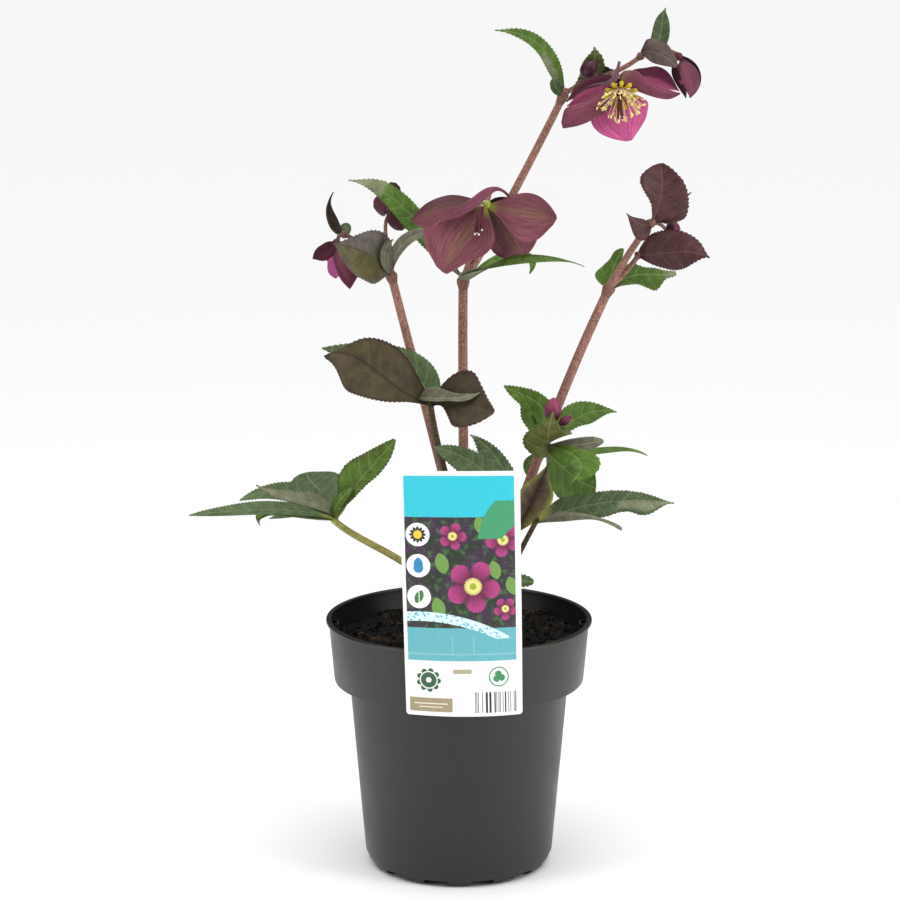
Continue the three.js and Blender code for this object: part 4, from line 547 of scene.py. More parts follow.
class Shell:
    """Points in millimetres, quads and triangles between them, a tint and a pattern place each."""

    def __init__(self, points, quads, triangles, tint, place):
        self.points = points
        self.quads = quads.reshape(-1, 4)
        self.triangles = triangles.reshape(-1, 3)
        self.tint = np.broadcast_to(tint, points.shape)
        self.place = place
        if self.volume() < 0:
            self.quads = self.quads[:, ::-1]
            self.triangles = self.triangles[:, ::-1]

    def volume(self):
        """Six times the volume, as the sum of the triple products of the triangles."""
        corners = np.concatenate(
            [self.quads[:, [0, 1, 2]], self.quads[:, [0, 2, 3]], self.triangles]
        )
        first, second, third = (self.points[corners[:, index]] for index in range(3))
        return np.sum(first * np.cross(second, third))


NO_TRIANGLES = np.zeros((0, 3), int)


def join(shells):
    """One shell from several, each with its indices moved past the points before it."""
    starts = np.cumsum([0] + [len(shell.points) for shell in shells[:-1]])
    joined = Shell.__new__(Shell)
    for name in ("points", "tint", "place"):
        setattr(joined, name, np.concatenate([getattr(shell, name) for shell in shells]))
    for name in ("quads", "triangles"):
        moved = [getattr(shell, name) + start for shell, start in zip(shells, starts)]
        setattr(joined, name, np.concatenate(moved))
    return joined


def rings_to_shell(rings, tint, place):
    """A closed skin over rings of points: quads between rings, and fans over both ends.

    The first and the last ring are single points repeated, so only one of each is kept.
    """
    count, sides = rings.shape[:2]
    inner = rings[1:-1].reshape(-1, 3)
    points = np.concatenate([rings[:1, 0], inner, rings[-1:, 0]])
    index = 1 + np.arange((count - 2) * sides).reshape(count - 2, sides)
    after = np.roll(index, -1, axis=1)
    quads = stacked(index[:-1], after[:-1], after[1:], index[1:])
    last = len(points) - 1
    foot = stacked(0, after[0], index[0])
    head = stacked(last, index[-1], after[-1])

    def kept(values):
        flat = np.broadcast_to(values, (count, sides, 3))
        return np.concatenate([flat[:1, 0], flat[1:-1].reshape(-1, 3), flat[-1:, 0]])

    return Shell(points, quads, np.concatenate([foot, head]), kept(tint), kept(place))


def side_of(directions):
    """A direction square to each given one, turned from the world axis that they least follow."""
    axis = np.eye(3)[np.argmin(np.abs(directions).max(axis=0))]
    return unit(np.cross(directions, axis))


def skin(centres, directions, radii, tint, sides=12, ridge=0.0, flat=1.0):
    """A round skin: each ring is its centre plus its radius times the turned side and over.

    radii is one number a ring, or one a point; the end rings shrink to points.
    """
    turn = np.linspace(0, TURN, sides, endpoint=False)
    side = side_of(directions)
    over = np.cross(directions, side)
    radii = np.asarray(radii, float)
    if radii.ndim == 1:
        radii = radii[:, None] * (1 + ridge * np.cos(5 * turn))
    radii = radii.copy()
    radii[[0, -1]] = 0
    rings = (
        centres[:, None]
        + side[:, None] * (radii * np.cos(turn))[..., None]
        + over[:, None] * (flat * radii * np.sin(turn))[..., None]
    )
    along = np.concatenate([[0], np.cumsum(np.linalg.norm(np.diff(centres, axis=0), axis=1))])
    place = stacked(radii.max() * turn, along[:, None], radii)
    tint = np.asarray(tint)
    return rings_to_shell(rings, tint if tint.ndim == 1 else tint[:, None], place)


def tube(path, start, end, tint, sides=16, steps=40, ridge=0.03):
    """A stalk along a curve: its radius runs evenly from start to end, and both ends are domes."""
    dome = np.linspace(0, np.pi / 2, 5)
    t = np.concatenate([np.zeros(4), np.linspace(0, 1, steps), np.ones(4)])
    sink = np.concatenate([np.cos(dome[:4]), np.zeros(steps), -np.cos(dome[3::-1])])
    swell = np.concatenate([np.sin(dome[:4]), np.ones(steps), np.sin(dome[3::-1])])
    centres, directions = curve(path, t)
    radii = start + (end - start) * t
    centres = centres - directions * (sink * radii)[:, None]
    tint = np.asarray(tint)
    if tint.ndim == 2:
        tint = blend(tint[0], tint[1], t)
    return skin(centres, directions, radii * swell, tint, sides, ridge)


END_TAPER = 8
ROOT_HALF_WIDTH = 1.2
TIP_HALF_WIDTH = 0.35
RIPPLE_TURN = 9
RIPPLE_SHIFT = 2
TOOTH_ROWS = 5
EDGE_THINNING = 0.55
SEPAL_VEINS = 9


def outline(t, rise, fall):
    """A blade's half width along it: it rises as t to a power and falls as 1 - t to another."""
    widest = rise / (rise + fall)
    return (t / widest) ** rise * ((1 - t) / (1 - widest)) ** fall


def taper(t, rise, fall):
    """1 along most of a blade, closing to nothing over its first and its last part."""
    return (1 - (1 - t) ** END_TAPER) ** rise * (1 - t**END_TAPER) ** fall


def blade_grid(spec, sizes, draw, columns):
    """The middle surface of a blade, with s across it, t along it, its half width and its length.

    Each row stands on the rib and turns from it by the fold, and further out by the cup, as an
    arc. A toothed edge adds a saw that climbs towards the tip, and waves grow with the reach.
    """
    rib = spec["rib"]
    reach = np.linalg.norm(np.diff(curve(rib, np.linspace(0, 1, 9))[0], axis=0), axis=1).sum()
    toothed = spec.get("toothed", False)
    teeth = max(6, round(reach / (sizes.tooth_spacing / MM)))
    rows = teeth * TOOTH_ROWS + 1 if toothed else int(np.clip(reach / 1.1, 26, 64))
    t = np.linspace(0, 1, rows)
    place, ahead = curve(rib, t)
    faces = unit(np.atleast_2d(np.array(spec["faces"], float)))
    up = through(faces, t) if len(faces) > 1 else np.broadcast_to(faces, place.shape)
    right = unit(np.cross(ahead, up))
    out = np.cross(right, ahead)
    even = np.linspace(-1, 1, columns)
    s = even * (0.55 + 0.45 * even**2)
    listed = isinstance(spec["half"], list) and isinstance(spec["half"][0], list)
    spread = (taper if listed else outline)(t, *spec.get("shape", [0.6, 0.7]))[:, None]
    half, fold, cup = (sided(spec.get(key, 0), t, s) for key in ("half", "fold", "cup"))
    end = ROOT_HALF_WIDTH + (TIP_HALF_WIDTH - ROOT_HALF_WIDTH) * t[:, None]
    width = np.sqrt((half * spread) ** 2 + end**2)
    outer = np.abs(s)
    if toothed:
        saw = (t * teeth) % 1
        bite = (sizes.tooth_depth / MM) * smooth(t, 0.08, 0.3) * (1 - 0.6 * smooth(t, 0.9, 1))
        width = width + (saw * bite)[:, None] * outer**8
    start = np.radians(fold)
    curl = np.radians(cup) + 1e-4
    lean = start + curl * outer
    sideways = (np.sin(lean) - np.sin(start)) / curl
    lift = (np.cos(start) - np.cos(lean)) / curl
    turns = RIPPLE_TURN * t[:, None] + RIPPLE_SHIFT * (s > 0)
    ripple = spec.get("wave", 0) * np.sin(turns) * np.sin(np.pi * t)[:, None] * s**2
    for order, shift in enumerate(draw.uniform(0, TURN, 4)):
        side = s > 0 if order % 2 else s <= 0
        wave = np.sin((5 + 2.3 * order) * t[:, None] + shift)
        ripple = ripple + side * 0.025 * half * wave * np.sin(np.pi * t)[:, None] * outer**1.6
    points = (
        place[:, None]
        + right[:, None] * (np.sign(s) * sideways * width)[..., None]
        + out[:, None] * (lift * width + ripple)[..., None]
    )
    s, t = np.broadcast_arrays(s, t[:, None])
    return points, s, t, width, reach


def sheet(points, thickness, tints, places, relief):
    """A closed sheet: the grid moved half its thickness up and down its normal, joined round.

    relief lifts the upper and the lower grid along the normal as well.
    """
    rows, columns = points.shape[:2]
    across = np.gradient(points, axis=1)
    ahead = np.gradient(points, axis=0)
    normal = unit(np.cross(across, ahead))
    upper = points + normal * (thickness / 2 + relief[0])[..., None]
    lower = points + normal * (relief[1] - thickness / 2)[..., None]
    top = np.arange(rows * columns).reshape(rows, columns)
    low = top + rows * columns
    faces = [
        stacked(top[:-1, :-1], top[:-1, 1:], top[1:, 1:], top[1:, :-1]),
        stacked(low[:-1, :-1], low[1:, :-1], low[1:, 1:], low[:-1, 1:]),
        stacked(top[0, 1:], top[0, :-1], low[0, :-1], low[0, 1:]),
        stacked(top[-1, :-1], top[-1, 1:], low[-1, 1:], low[-1, :-1]),
        stacked(top[1:, -1], top[:-1, -1], low[:-1, -1], low[1:, -1]),
        stacked(top[:-1, 0], top[1:, 0], low[1:, 0], low[:-1, 0]),
    ]
    quads = np.concatenate([face.reshape(-1, 4) for face in faces])
    flat = [values.reshape(-1, 3) for values in (upper, lower)]
    tint = np.concatenate([values.reshape(-1, 3) for values in tints])
    place = np.concatenate([values.reshape(-1, 3) for values in places])
    return Shell(np.concatenate(flat), quads, NO_TRIANGLES, tint, place)


def palette(face, back, edge, foot, **more):
    """The colours of a blade's face, back, edge and foot, and what more its look needs."""
    return dict(face=face, back=back, edge=edge, foot=foot, **more)


# stripe is how far the midrib's colour, middle, spreads across the blade and share how much of
# it shows. rim is where the edge's colour starts. over colours the half of the face past the
# midrib, where s is above nothing.
LOOKS = {
    "lush": palette("lush_leaf", "leaf_back", "umber_leaf", "green_stalk"),
    "green": palette("green_leaf", "leaf_back", "green_leaf", "green_stalk"),
    "pale": palette("leaf_back", "leaf_back", "dusky_back", "dusky_back"),
    "dusty": palette("dusty_back", "dusty_back", "leaf_back", "dusky_back"),
    "fresh": palette("fresh_leaf", "leaf_back", "lush_leaf", "dusky_back"),
    "olive": palette("olive_leaf", "leaf_back", "lush_leaf", "dark_stalk"),
    "mossy": palette("moss_leaf", "leaf_back", "dusty_back", "dusty_back", over="dusty_back"),
    "bronze": palette("bronze_leaf", "leaf_back", "dark_stalk", "umber_leaf", middle="dark_stalk",
        stripe=0.045),
    "brown": palette("brown_leaf", "dusky_back", "dark_stalk", "umber_leaf"),
    "umber": palette("umber_leaf", "fresh_leaf", "dark_stalk", "dark_stalk"),
    "grey": palette("grey_leaf", "dusky_back", "dusky_back", "dark_stalk"),
    "clasp": palette("dusky_back", "dusky_back", "heart", "dark_stalk", middle="dark_stalk", stripe=0.4,
        rim=0.62),
    "maroon": palette("maroon_leaf", "dusky_back", "dark_stalk", "dark_stalk"),
    "old": palette("old_sepal", "shadow_sepal", "rosy_edge", "heart", middle="old_stripe", stripe=0.2,
        share=0.55, rim=0.7),
    "old_rim": palette("open_back", "shadow_sepal", "rosy_edge", "open_back"),
    "shadow": palette("shadow_sepal", "shadow_sepal", "dusk_sepal", "shadow_sepal"),
    "open": palette("open_sepal", "open_back", "open_sepal", "heart"),
    "open_mid": palette("inner_sepal", "open_back", "rosy_edge", "open_back"),
    "open_out": palette("open_back", "open_back", "rosy_edge", "shadow_sepal"),
    "open_wing": palette("open_back", "open_back", "rosy_edge", "old_stripe"),
    "veil": palette("veil_sepal", "open_back", "rosy_edge", "veil_sepal"),
    "dusk": palette("dusk_sepal", "dusk_sepal", "open_back", "dark_stalk", middle="open_back", stripe=0.4),
    "wine": palette("dusk_sepal", "shadow_sepal", "shadow_sepal", "dark_stalk"),
    "pink": palette("pink_sepal", "dusk_sepal", "open_sepal", "heart"),
}
TONES = set(HelleboreColours.__annotations__)


def blade_tints(spec, colours, s, t, draw):
    """The face's and the back's colour at each point: foot, midrib and edge shade into the middle.

    Soft patches, a product of two slow waves, lean towards the edge's colour. Inside a turned
    blade's range of t and of s the face shows the back. The shades set each half's brightness,
    which is painted light and shade: a half is lighter where it faces the light and darker in shadow.
    """
    look = LOOKS[spec["look"]]
    tone = {key: np.array(getattr(colours, name)) for key, name in look.items() if name in TONES}
    outer = np.abs(s)
    shift = draw.uniform(0, TURN, 3)
    patch = np.sin(3.1 * s + shift[0]) * np.sin(5.3 * t + shift[1]) * 0.5 + 0.5
    brightness = 1 + 0.1 * np.sin(4 * t + shift[2])[..., None] + draw.uniform(-0.08, 0.08)
    face = blend(tone["face"], tone.get("over", tone["face"]), smooth(s, -0.1, 0.35))
    face = blend(face, tone["edge"], 0.3 * patch)
    if "middle" in tone:
        stripe = np.exp(-((outer / look["stripe"]) ** 2)) * (1 - smooth(t, 0.75, 1))
        face = blend(face, tone["middle"], look.get("share", 0.85) * stripe)
    face = blend(face, tone["edge"], smooth(outer, look.get("rim", 0.9), 1) * 0.75)
    face = blend(face, tone["foot"], 1 - smooth(t, 0.02, 0.16))
    back = blend(tone["back"], tone["edge"], 0.15 * patch + 0.5 * smooth(outer, 0.93, 1))
    back = blend(back, tone["foot"], 0.7 * (1 - smooth(t, 0.0, 0.15)))
    start, end, low, high = spec.get("turned", (2, 2, 2, 2))
    along = smooth(t, start - 0.015, start + 0.015) * (1 - smooth(t, end - 0.015, end + 0.015))
    over = smooth(s, low - 0.05, low + 0.05) * (1 - smooth(s, high - 0.05, high + 0.05))
    face = blend(face, back, along * over)
    # painted light and shade: each half of the face is made lighter or darker as the light falls on it
    left, right = spec.get("shades", (1, 1))
    face = face * (left + (right - left) * smooth(s, -0.3, 0.2))[..., None]
    return face * brightness, back * brightness


def leaf(spec, settings, draw, columns=21):
    """A leaf or bract: a toothed blade with a sunk midrib, side veins and puckers between them.

    The side veins are the whole numbers of a phase that grows with t and falls off to the edges.
    """
    sizes = settings.sizes
    points, s, t, width, reach = blade_grid(spec, sizes, draw, columns)
    outer = np.abs(s)
    veins = reach / (sizes.vein_spacing / MM)
    phase = veins * (t - 0.75 * width / reach * outer**1.3)
    inside = smooth(outer, 0.0, 0.2) * (1 - smooth(outer, 0.7, 1.0))
    pucker = -0.16 * np.cos(TURN * phase) * inside * smooth(width, 2, 8)
    crease = np.exp(-((outer * width / 0.9) ** 2)) * (1 - 0.75 * t)
    thickness = (sizes.leaf_thickness / MM) * (1 - EDGE_THINNING * outer**4)
    tints = blade_tints(spec, settings.colours, s, t, draw)
    place = stacked(s * width, t * reach, phase)
    relief = (pucker - 0.4 * crease, pucker - crease)
    return sheet(points, thickness, tints, (place, place), relief)


def sepal(spec, settings, draw, columns=31):
    """A sepal: a smooth rounded blade whose veins fan out from its foot along lines of equal s."""
    points, s, t, width, reach = blade_grid(spec, settings.sizes, draw, columns)
    outer = np.abs(s)
    fan = SEPAL_VEINS * s
    relief = -0.05 * np.cos(TURN * fan) * (1 - smooth(outer, 0.8, 1)) * smooth(t, 0.0, 0.2)
    crease = np.exp(-((outer * width / 1.6) ** 2)) * (1 - smooth(t, 0.6, 1))
    thickness = (settings.sizes.sepal_thickness / MM) * (1 - EDGE_THINNING * outer**4)
    tints = blade_tints(spec, settings.colours, s, t, draw)
    place = stacked(s * width, t * reach, fan)
    relief = (relief - 0.35 * crease, relief - 0.5 * crease)
    return sheet(points, thickness, tints, (place, place), relief)


BUD_TONES = {
    "bud_dark": ("shadow_sepal", "dark_bud"),
    "bud_dusk": ("dark_bud", "open_back"),
    "bud_pink": ("dark_bud", "pink_bud"),
}


def bud(spec, colours, sides=60, steps=30):
    """A closed bud: a pointed egg whose skin steps out at three seams, where sepals overlap."""
    foot, tip = np.array(spec["foot"], float), np.array(spec["tip"], float)
    t = 0.5 - 0.5 * np.cos(np.linspace(0, np.pi, steps))
    centres = foot + (tip - foot) * t[:, None]
    directions = np.broadcast_to(unit(tip - foot), centres.shape)
    turn = np.linspace(0, TURN, sides, endpoint=False)
    egg = np.sin(np.pi * t**0.85) ** 0.62
    seam = ((3 * turn / TURN)[None, :] + 0.6 * t[:, None]) % 1
    radii = spec["radius"] * egg[:, None] * (0.93 + 0.09 * smooth(seam, 0, 1) - 0.03 * (seam < 0.03))
    low, high = (np.array(getattr(colours, tone)) for tone in BUD_TONES[spec["look"]])
    tint = blend(low, high, smooth(t, 0.1, 0.8))
    return skin(centres, directions, radii, tint, sides)


# ---- Finishes


class Finish:
    """A material's nodes, with short calls for the ones that the finishes share."""

    def __init__(self, name):
        self.material = bpy.data.materials.new(name)
        self.material.use_nodes = True
        self.tree = self.material.node_tree
        self.shader = self.tree.nodes["Principled BSDF"]

    def feed(self, socket, value):
        if isinstance(value, bpy.types.NodeSocket):
            self.tree.links.new(value, socket)
        else:
            socket.default_value = value

    def add(self, kind, values=(), output=0, settings=(), **named):
        """A node of that kind, its first sockets fed from values and others by name."""
        node = self.tree.nodes.new("ShaderNode" + kind)
        for key, value in dict(settings).items():
            setattr(node, key, value)
        for socket, value in zip(node.inputs, values):
            self.feed(socket, value)
        for key, value in named.items():
            self.feed(node.inputs[key.replace("_", " ")], value)
        return node.outputs[output]

    def made(self, **values):
        """The material, with the surface's own sockets fed by name, with _ for each space."""
        for key, value in values.items():
            self.feed(self.shader.inputs[key.replace("_", " ")], value)
        return self.material

    def math(self, operation, *values):
        return self.add("Math", values, settings=dict(operation=operation))

    def times(self, *values):
        return self.math("MULTIPLY", *values)

    def vector(self, operation, *values):
        return self.add("VectorMath", values, settings=dict(operation=operation))

    def shaded(self, tone, *factors):
        """A colour made lighter or darker by the product of the factors."""
        factor = factors[0]
        for other in factors[1:]:
            factor = self.times(factor, other)
        node = self.vector("SCALE", tone).node
        self.feed(node.inputs["Scale"], factor)
        return node.outputs[0]

    def tinted(self, *factors):
        """The shell's own tint, made lighter or darker by the product of the factors."""
        return self.shaded(self.attribute("tint", "Color"), *factors)

    def parts(self, vector):
        return tuple(self.add("SeparateXYZ", (vector,)).node.outputs)

    def attribute(self, name, output="Vector"):
        node = self.tree.nodes.new("ShaderNodeAttribute")
        node.attribute_name = name
        return node.outputs[output]

    def object_place(self):
        """The place on the object, in millimetres."""
        here = self.tree.nodes.new("ShaderNodeTexCoord").outputs["Object"]
        return self.vector("MULTIPLY", here, (1 / MM, 1 / MM, 1 / MM))

    def noise(self, vector, scale, detail=2.0, roughness=0.5):
        return self.add("TexNoise", Vector=vector, Scale=scale, Detail=detail, Roughness=roughness)

    def ramp(self, value, low, high, to_low=0.0, to_high=1.0):
        """value mapped from low..high to to_low..to_high, easing at both ends."""
        settings = dict(interpolation_type="SMOOTHSTEP")
        return self.add("MapRange", (value, low, high, to_low, to_high), settings=settings)

    def mix(self, amount, first, second):
        node = self.tree.nodes.new("ShaderNodeMix")
        node.data_type = "RGBA"
        for socket, value in ((0, amount), (6, first), (7, second)):
            self.feed(node.inputs[socket], value)
        return node.outputs[2]

    def bump(self, height, distance, under=None):
        """A bump of that many millimetres, laid over another one."""
        node = self.tree.nodes.new("ShaderNodeBump")
        node.inputs["Distance"].default_value = distance * MM
        self.feed(node.inputs["Height"], height)
        if under is not None:
            self.feed(node.inputs["Normal"], under)
        return node.outputs[0]


def rgba(tone, factor=1.0):
    """A colour setting with full cover, darker or lighter by factor."""
    return (*(min(1.0, channel * factor) for channel in tone), 1.0)


def foliage_finish(name, vein, vein_share, roughness, coat):
    """Leaf skin: the blade's tint, mottled, with midrib, side veins and a net of fine veins."""
    finish = Finish(name)
    across, along, phase = finish.parts(finish.attribute("place"))
    flat = finish.add("CombineXYZ", (across, along, 0.0))
    reach = finish.math("POWER", finish.math("ABSOLUTE", across), 2.0)
    rib = finish.math("EXPONENT", finish.times(reach, -5.0))
    nearest = finish.math("PINGPONG", phase, 0.5)
    side = finish.ramp(nearest, 0.0, 0.07, 1.0, 0.0)
    edges = dict(feature="DISTANCE_TO_EDGE")
    cells = finish.add("TexVoronoi", Vector=flat, Scale=0.42, settings=edges)
    net = finish.ramp(cells, 0.0, 0.09, 1.0, 0.0)
    small = finish.add("TexVoronoi", Vector=flat, Scale=1.3, settings=edges)
    mesh = finish.ramp(small, 0.0, 0.12, 1.0, 0.0)
    veins = finish.math("MAXIMUM", rib, finish.times(side, 0.75))
    fine = finish.math("MAXIMUM", finish.times(net, 0.4), finish.times(mesh, 0.12))
    broad = finish.noise(flat, 0.09, 3.0)
    mottle = finish.noise(flat, 0.7, 4.0, 0.6)
    grain = finish.noise(flat, 5.0)
    skin_tone = finish.tinted(
        finish.ramp(broad, 0.3, 0.7, 0.74, 1.22),
        finish.ramp(mottle, 0.25, 0.75, 0.82, 1.16),
        finish.ramp(grain, 0.3, 0.7, 0.95, 1.05),
    )
    both = finish.math("MAXIMUM", veins, fine)
    tone = finish.mix(finish.times(both, vein_share), skin_tone, rgba(vein))
    height = finish.math("SUBTRACT", finish.times(mottle, 0.5), finish.times(both, 0.6))
    return finish.made(
        Base_Color=tone,
        Roughness=finish.ramp(mottle, 0.2, 0.8, roughness - 0.07, roughness + 0.09),
        Normal=finish.bump(grain, 0.05, finish.bump(height, 0.22)),
        Coat_Weight=coat,
        Coat_Roughness=0.35,
        Specular_IOR_Level=0.14,
    )


def sepal_finish(name, vein, vein_share, roughness, bleed):
    """Sepal skin: the tint streaked from foot to tip, fan veins, a soft sheen and some bleed."""
    finish = Finish(name)
    across, along, fan = finish.parts(finish.attribute("place"))
    flat = finish.add("CombineXYZ", (across, along, 0.0))
    rays = finish.add("CombineXYZ", (finish.times(fan, 1.6), finish.times(along, 0.05), 0.0))
    streak = finish.noise(rays, 1.0, 4.0, 0.6)
    mottle = finish.noise(flat, 0.5, 4.0, 0.6)
    grain = finish.noise(flat, 4.0)
    nearest = finish.math("PINGPONG", fan, 0.5)
    faded = finish.ramp(mottle, 0.3, 0.7, 0.3, 1.0)
    veins = finish.times(finish.ramp(nearest, 0.0, 0.13, 1.0, 0.0), faded)
    skin_tone = finish.tinted(
        finish.ramp(streak, 0.28, 0.72, 0.66, 1.28),
        finish.ramp(mottle, 0.25, 0.75, 0.86, 1.14),
        finish.ramp(grain, 0.3, 0.7, 0.93, 1.07),
    )
    tone = finish.mix(finish.times(veins, vein_share), skin_tone, rgba(vein))
    bump = finish.bump(finish.math("ADD", veins, streak), 0.16)
    return finish.made(
        Base_Color=tone,
        Roughness=finish.ramp(mottle, 0.2, 0.8, roughness - 0.08, roughness + 0.08),
        Normal=finish.bump(grain, 0.05, bump),
        Specular_IOR_Level=0.16,
        Sheen_Weight=0.03,
        Sheen_Roughness=0.4,
        Subsurface_Weight=bleed,
        Subsurface_Radius=(0.8 * MM, 0.35 * MM, 0.4 * MM),
        Subsurface_Scale=1.0,
    )


def stem_finish(name, speck, speck_share, roughness=0.5):
    """Stem skin: the tint with pale flecks about half a millimetre wide and long soft ridges."""
    finish = Finish(name)
    here = finish.object_place()
    flecks = finish.noise(here, 1.15, 3.0, 0.75)
    broad = finish.noise(here, 0.05)
    long = finish.noise(finish.vector("MULTIPLY", here, (1.0, 1.0, 0.08)), 0.9, 3.0)
    skin_tone = finish.tinted(
        finish.ramp(broad, 0.3, 0.7, 0.84, 1.16),
        finish.ramp(long, 0.3, 0.7, 0.8, 1.15),
    )
    tone = finish.mix(finish.ramp(flecks, 0.5, 0.62, 0.0, speck_share), skin_tone, rgba(speck))
    dark = finish.mix(finish.ramp(flecks, 0.38, 0.48, 0.7, 0.0), tone, rgba(speck, 0.13))
    return finish.made(
        Base_Color=dark,
        Roughness=finish.ramp(flecks, 0.3, 0.7, roughness - 0.06, roughness + 0.12),
        Normal=finish.bump(flecks, 0.12, finish.bump(long, 0.3)),
        Specular_IOR_Level=0.2,
    )


def tinted_finish(name, roughness, scale, depth, bleed=0.0):
    """A small part's skin: its tint with a fine mottle and grain."""
    finish = Finish(name)
    here = finish.object_place()
    mottle = finish.noise(here, scale, 3.0, 0.6)
    return finish.made(
        Base_Color=finish.tinted(finish.ramp(mottle, 0.25, 0.75, 0.8, 1.2)),
        Roughness=finish.ramp(mottle, 0.2, 0.8, roughness - 0.06, roughness + 0.08),
        Normal=finish.bump(mottle, depth),
        Specular_IOR_Level=0.25,
        Subsurface_Weight=bleed,
        Subsurface_Radius=(0.6 * MM, 0.4 * MM, 0.2 * MM),
        Subsurface_Scale=1.0,
    )


def pot_finish(tone):
    """Moulded plastic: satin, faintly pebbled, with dust in the finest grain and rubbed streaks."""
    finish = Finish("pot_plastic")
    here = finish.object_place()
    pebble = finish.noise(here, 1.1, 3.0, 0.6)
    cloud = finish.noise(here, 0.022, 3.0)
    drawn = finish.noise(finish.vector("MULTIPLY", here, (1.0, 1.0, 0.05)), 0.25, 3.0)
    dust = finish.noise(here, 3.0, 2.0, 0.7)
    base = finish.shaded(
        tuple(tone),
        finish.ramp(cloud, 0.3, 0.7, 0.86, 1.14),
        finish.ramp(drawn, 0.3, 0.7, 0.94, 1.07),
    )
    dusty = finish.mix(finish.ramp(dust, 0.62, 0.8, 0.0, 0.12), base, (0.28, 0.25, 0.22, 1.0))
    return finish.made(
        Base_Color=dusty,
        Roughness=finish.ramp(cloud, 0.3, 0.7, 0.36, 0.46),
        Normal=finish.bump(drawn, 0.06, finish.bump(pebble, 0.05)),
        Specular_IOR_Level=0.5,
    )


def peat_finish(tone):
    """Damp peat: nearly black, browner on its crumbs, with a wet glint here and there."""
    finish = Finish("peat")
    here = finish.object_place()
    lumps = finish.noise(here, 0.35, 5.0, 0.65)
    grain = finish.noise(here, 2.2, 4.0, 0.7)
    warm = finish.mix(finish.ramp(lumps, 0.35, 0.7), rgba(tone, 0.55), rgba(tone, 1.7))
    specks = finish.mix(finish.ramp(grain, 0.62, 0.78, 0.0, 0.4), warm, (0.09, 0.06, 0.035, 1.0))
    return finish.made(
        Base_Color=specks,
        Roughness=finish.ramp(lumps, 0.3, 0.7, 0.62, 0.95),
        Normal=finish.bump(lumps, 1.6, finish.bump(grain, 0.6)),
        Specular_IOR_Level=0.15,
    )


# ---- The label's print


class Print(Finish):
    """A printed card: flat shapes laid over each other, each a mask worked out in millimetres."""

    EDGE = 0.07

    def __init__(self, name):
        super().__init__(name)
        self.across, self.height, self.front = self.parts(self.attribute("place"))
        self.tone = (1.0, 1.0, 1.0, 1.0)

    def within(self, distance):
        """1 where a distance is below nothing, with a crisp edge."""
        return self.ramp(distance, -self.EDGE, self.EDGE, 1.0, 0.0)

    def offset(self, centre):
        x = self.math("SUBTRACT", self.across, centre[0])
        return x, self.math("SUBTRACT", self.height, centre[1])

    def reach(self, x, y):
        """The length of the vector x, y."""
        return self.math("SQRT", self.math("ADD", self.times(x, x), self.times(y, y)))

    def disc(self, centre, radius):
        return self.within(self.math("SUBTRACT", self.reach(*self.offset(centre)), radius))

    def ring(self, centre, outside, inside):
        return self.without(self.disc(centre, outside), self.disc(centre, inside))

    def lens(self, centre, offset, radius):
        """Where two discs overlap, one on each side of a centre."""
        (x, y), (across, up) = centre, offset
        return self.times(self.disc((x - across, y - up), radius), self.disc((x + across, y + up), radius))

    def panel(self, left, right, low, high, corner=0.01):
        """A rectangle with rounded corners."""
        x, y = self.offset(((left + right) / 2, (low + high) / 2))
        gaps = [
            self.math("SUBTRACT", self.math("ABSOLUTE", value), size / 2 - corner)
            for value, size in ((x, right - left), (y, high - low))
        ]
        outside = self.reach(*(self.math("MAXIMUM", gap, 0.0) for gap in gaps))
        depth = self.math("MINIMUM", self.math("MAXIMUM", *gaps), 0.0)
        return self.within(self.math("SUBTRACT", self.math("ADD", outside, depth), corner))

    def blossom(self, centre, radius, turn, petals=5, waist=0.5):
        """Petals: the reach stays under the radius times a rounded cosine of the angle."""
        x, y = self.offset(centre)
        reach = self.reach(x, y)
        angle = self.math("ADD", self.times(self.math("ARCTAN2", y, x), petals / 2), turn)
        lobe = self.math("POWER", self.math("ABSOLUTE", self.math("COSINE", angle)), 0.55)
        limit = self.math("MULTIPLY_ADD", lobe, radius * (1 - waist), radius * waist)
        mask = self.within(self.math("SUBTRACT", reach, limit))
        share_out = self.math("DIVIDE", reach, radius)
        return mask, lobe, share_out

    def line(self, value, at, width):
        """1 where value is at that place, fading out over a width on both sides."""
        gap = self.math("ABSOLUTE", self.math("SUBTRACT", value, at))
        return self.ramp(gap, 0.0, width, 1.0, 0.0)

    def without(self, first, second):
        return self.times(first, self.math("SUBTRACT", 1.0, second))

    def paint(self, mask, tone):
        self.tone = self.mix(mask, self.tone, tone)


def code(value):
    """The shader colour of a six-digit sRGB code."""
    return rgba(linear(value))


LABEL_EDGES = (-40.3, 38.7)
BAND_FOOT, BAND_TOP = 148.0, 178.2
PICTURE_FOOT = 66.0
STRIP_FOOT = 41.5
SUN, DROP, SPRIG = (-31.0, 135.0), (-31.0, 112.0), (-31.0, 89.0)
BLOSSOMS = (
    (8.0, 97.0, 19.5, 0.4), (30.0, 131.0, 12.5, 1.1), (-6.0, 134.0, 10.0, 0.1), (31.0, 80.0, 8.5, 0.8),
)
SPRIGS = ((-14, 113, 9.0), (24, 108, 8.0), (14, 141, 8.0), (-17, 80, 9.0), (36, 96, 8.0))
ROSETTE = (-25.5, 27.0)
TREFOIL = (25.5, 29.5)
PLATES = (
    ((-40.0, -8.5, 3.2, 13.6, 0.8), "a39573"),
    ((-36.5, -12.0, 8.9, 9.7, 0.3), "e9e3d2"),
    ((-33.0, -15.5, 6.4, 7.1, 0.3), "e9e3d2"),
    ((-8.0, 6.0, 32.0, 35.4, 1.7), "b3a98c"),
)


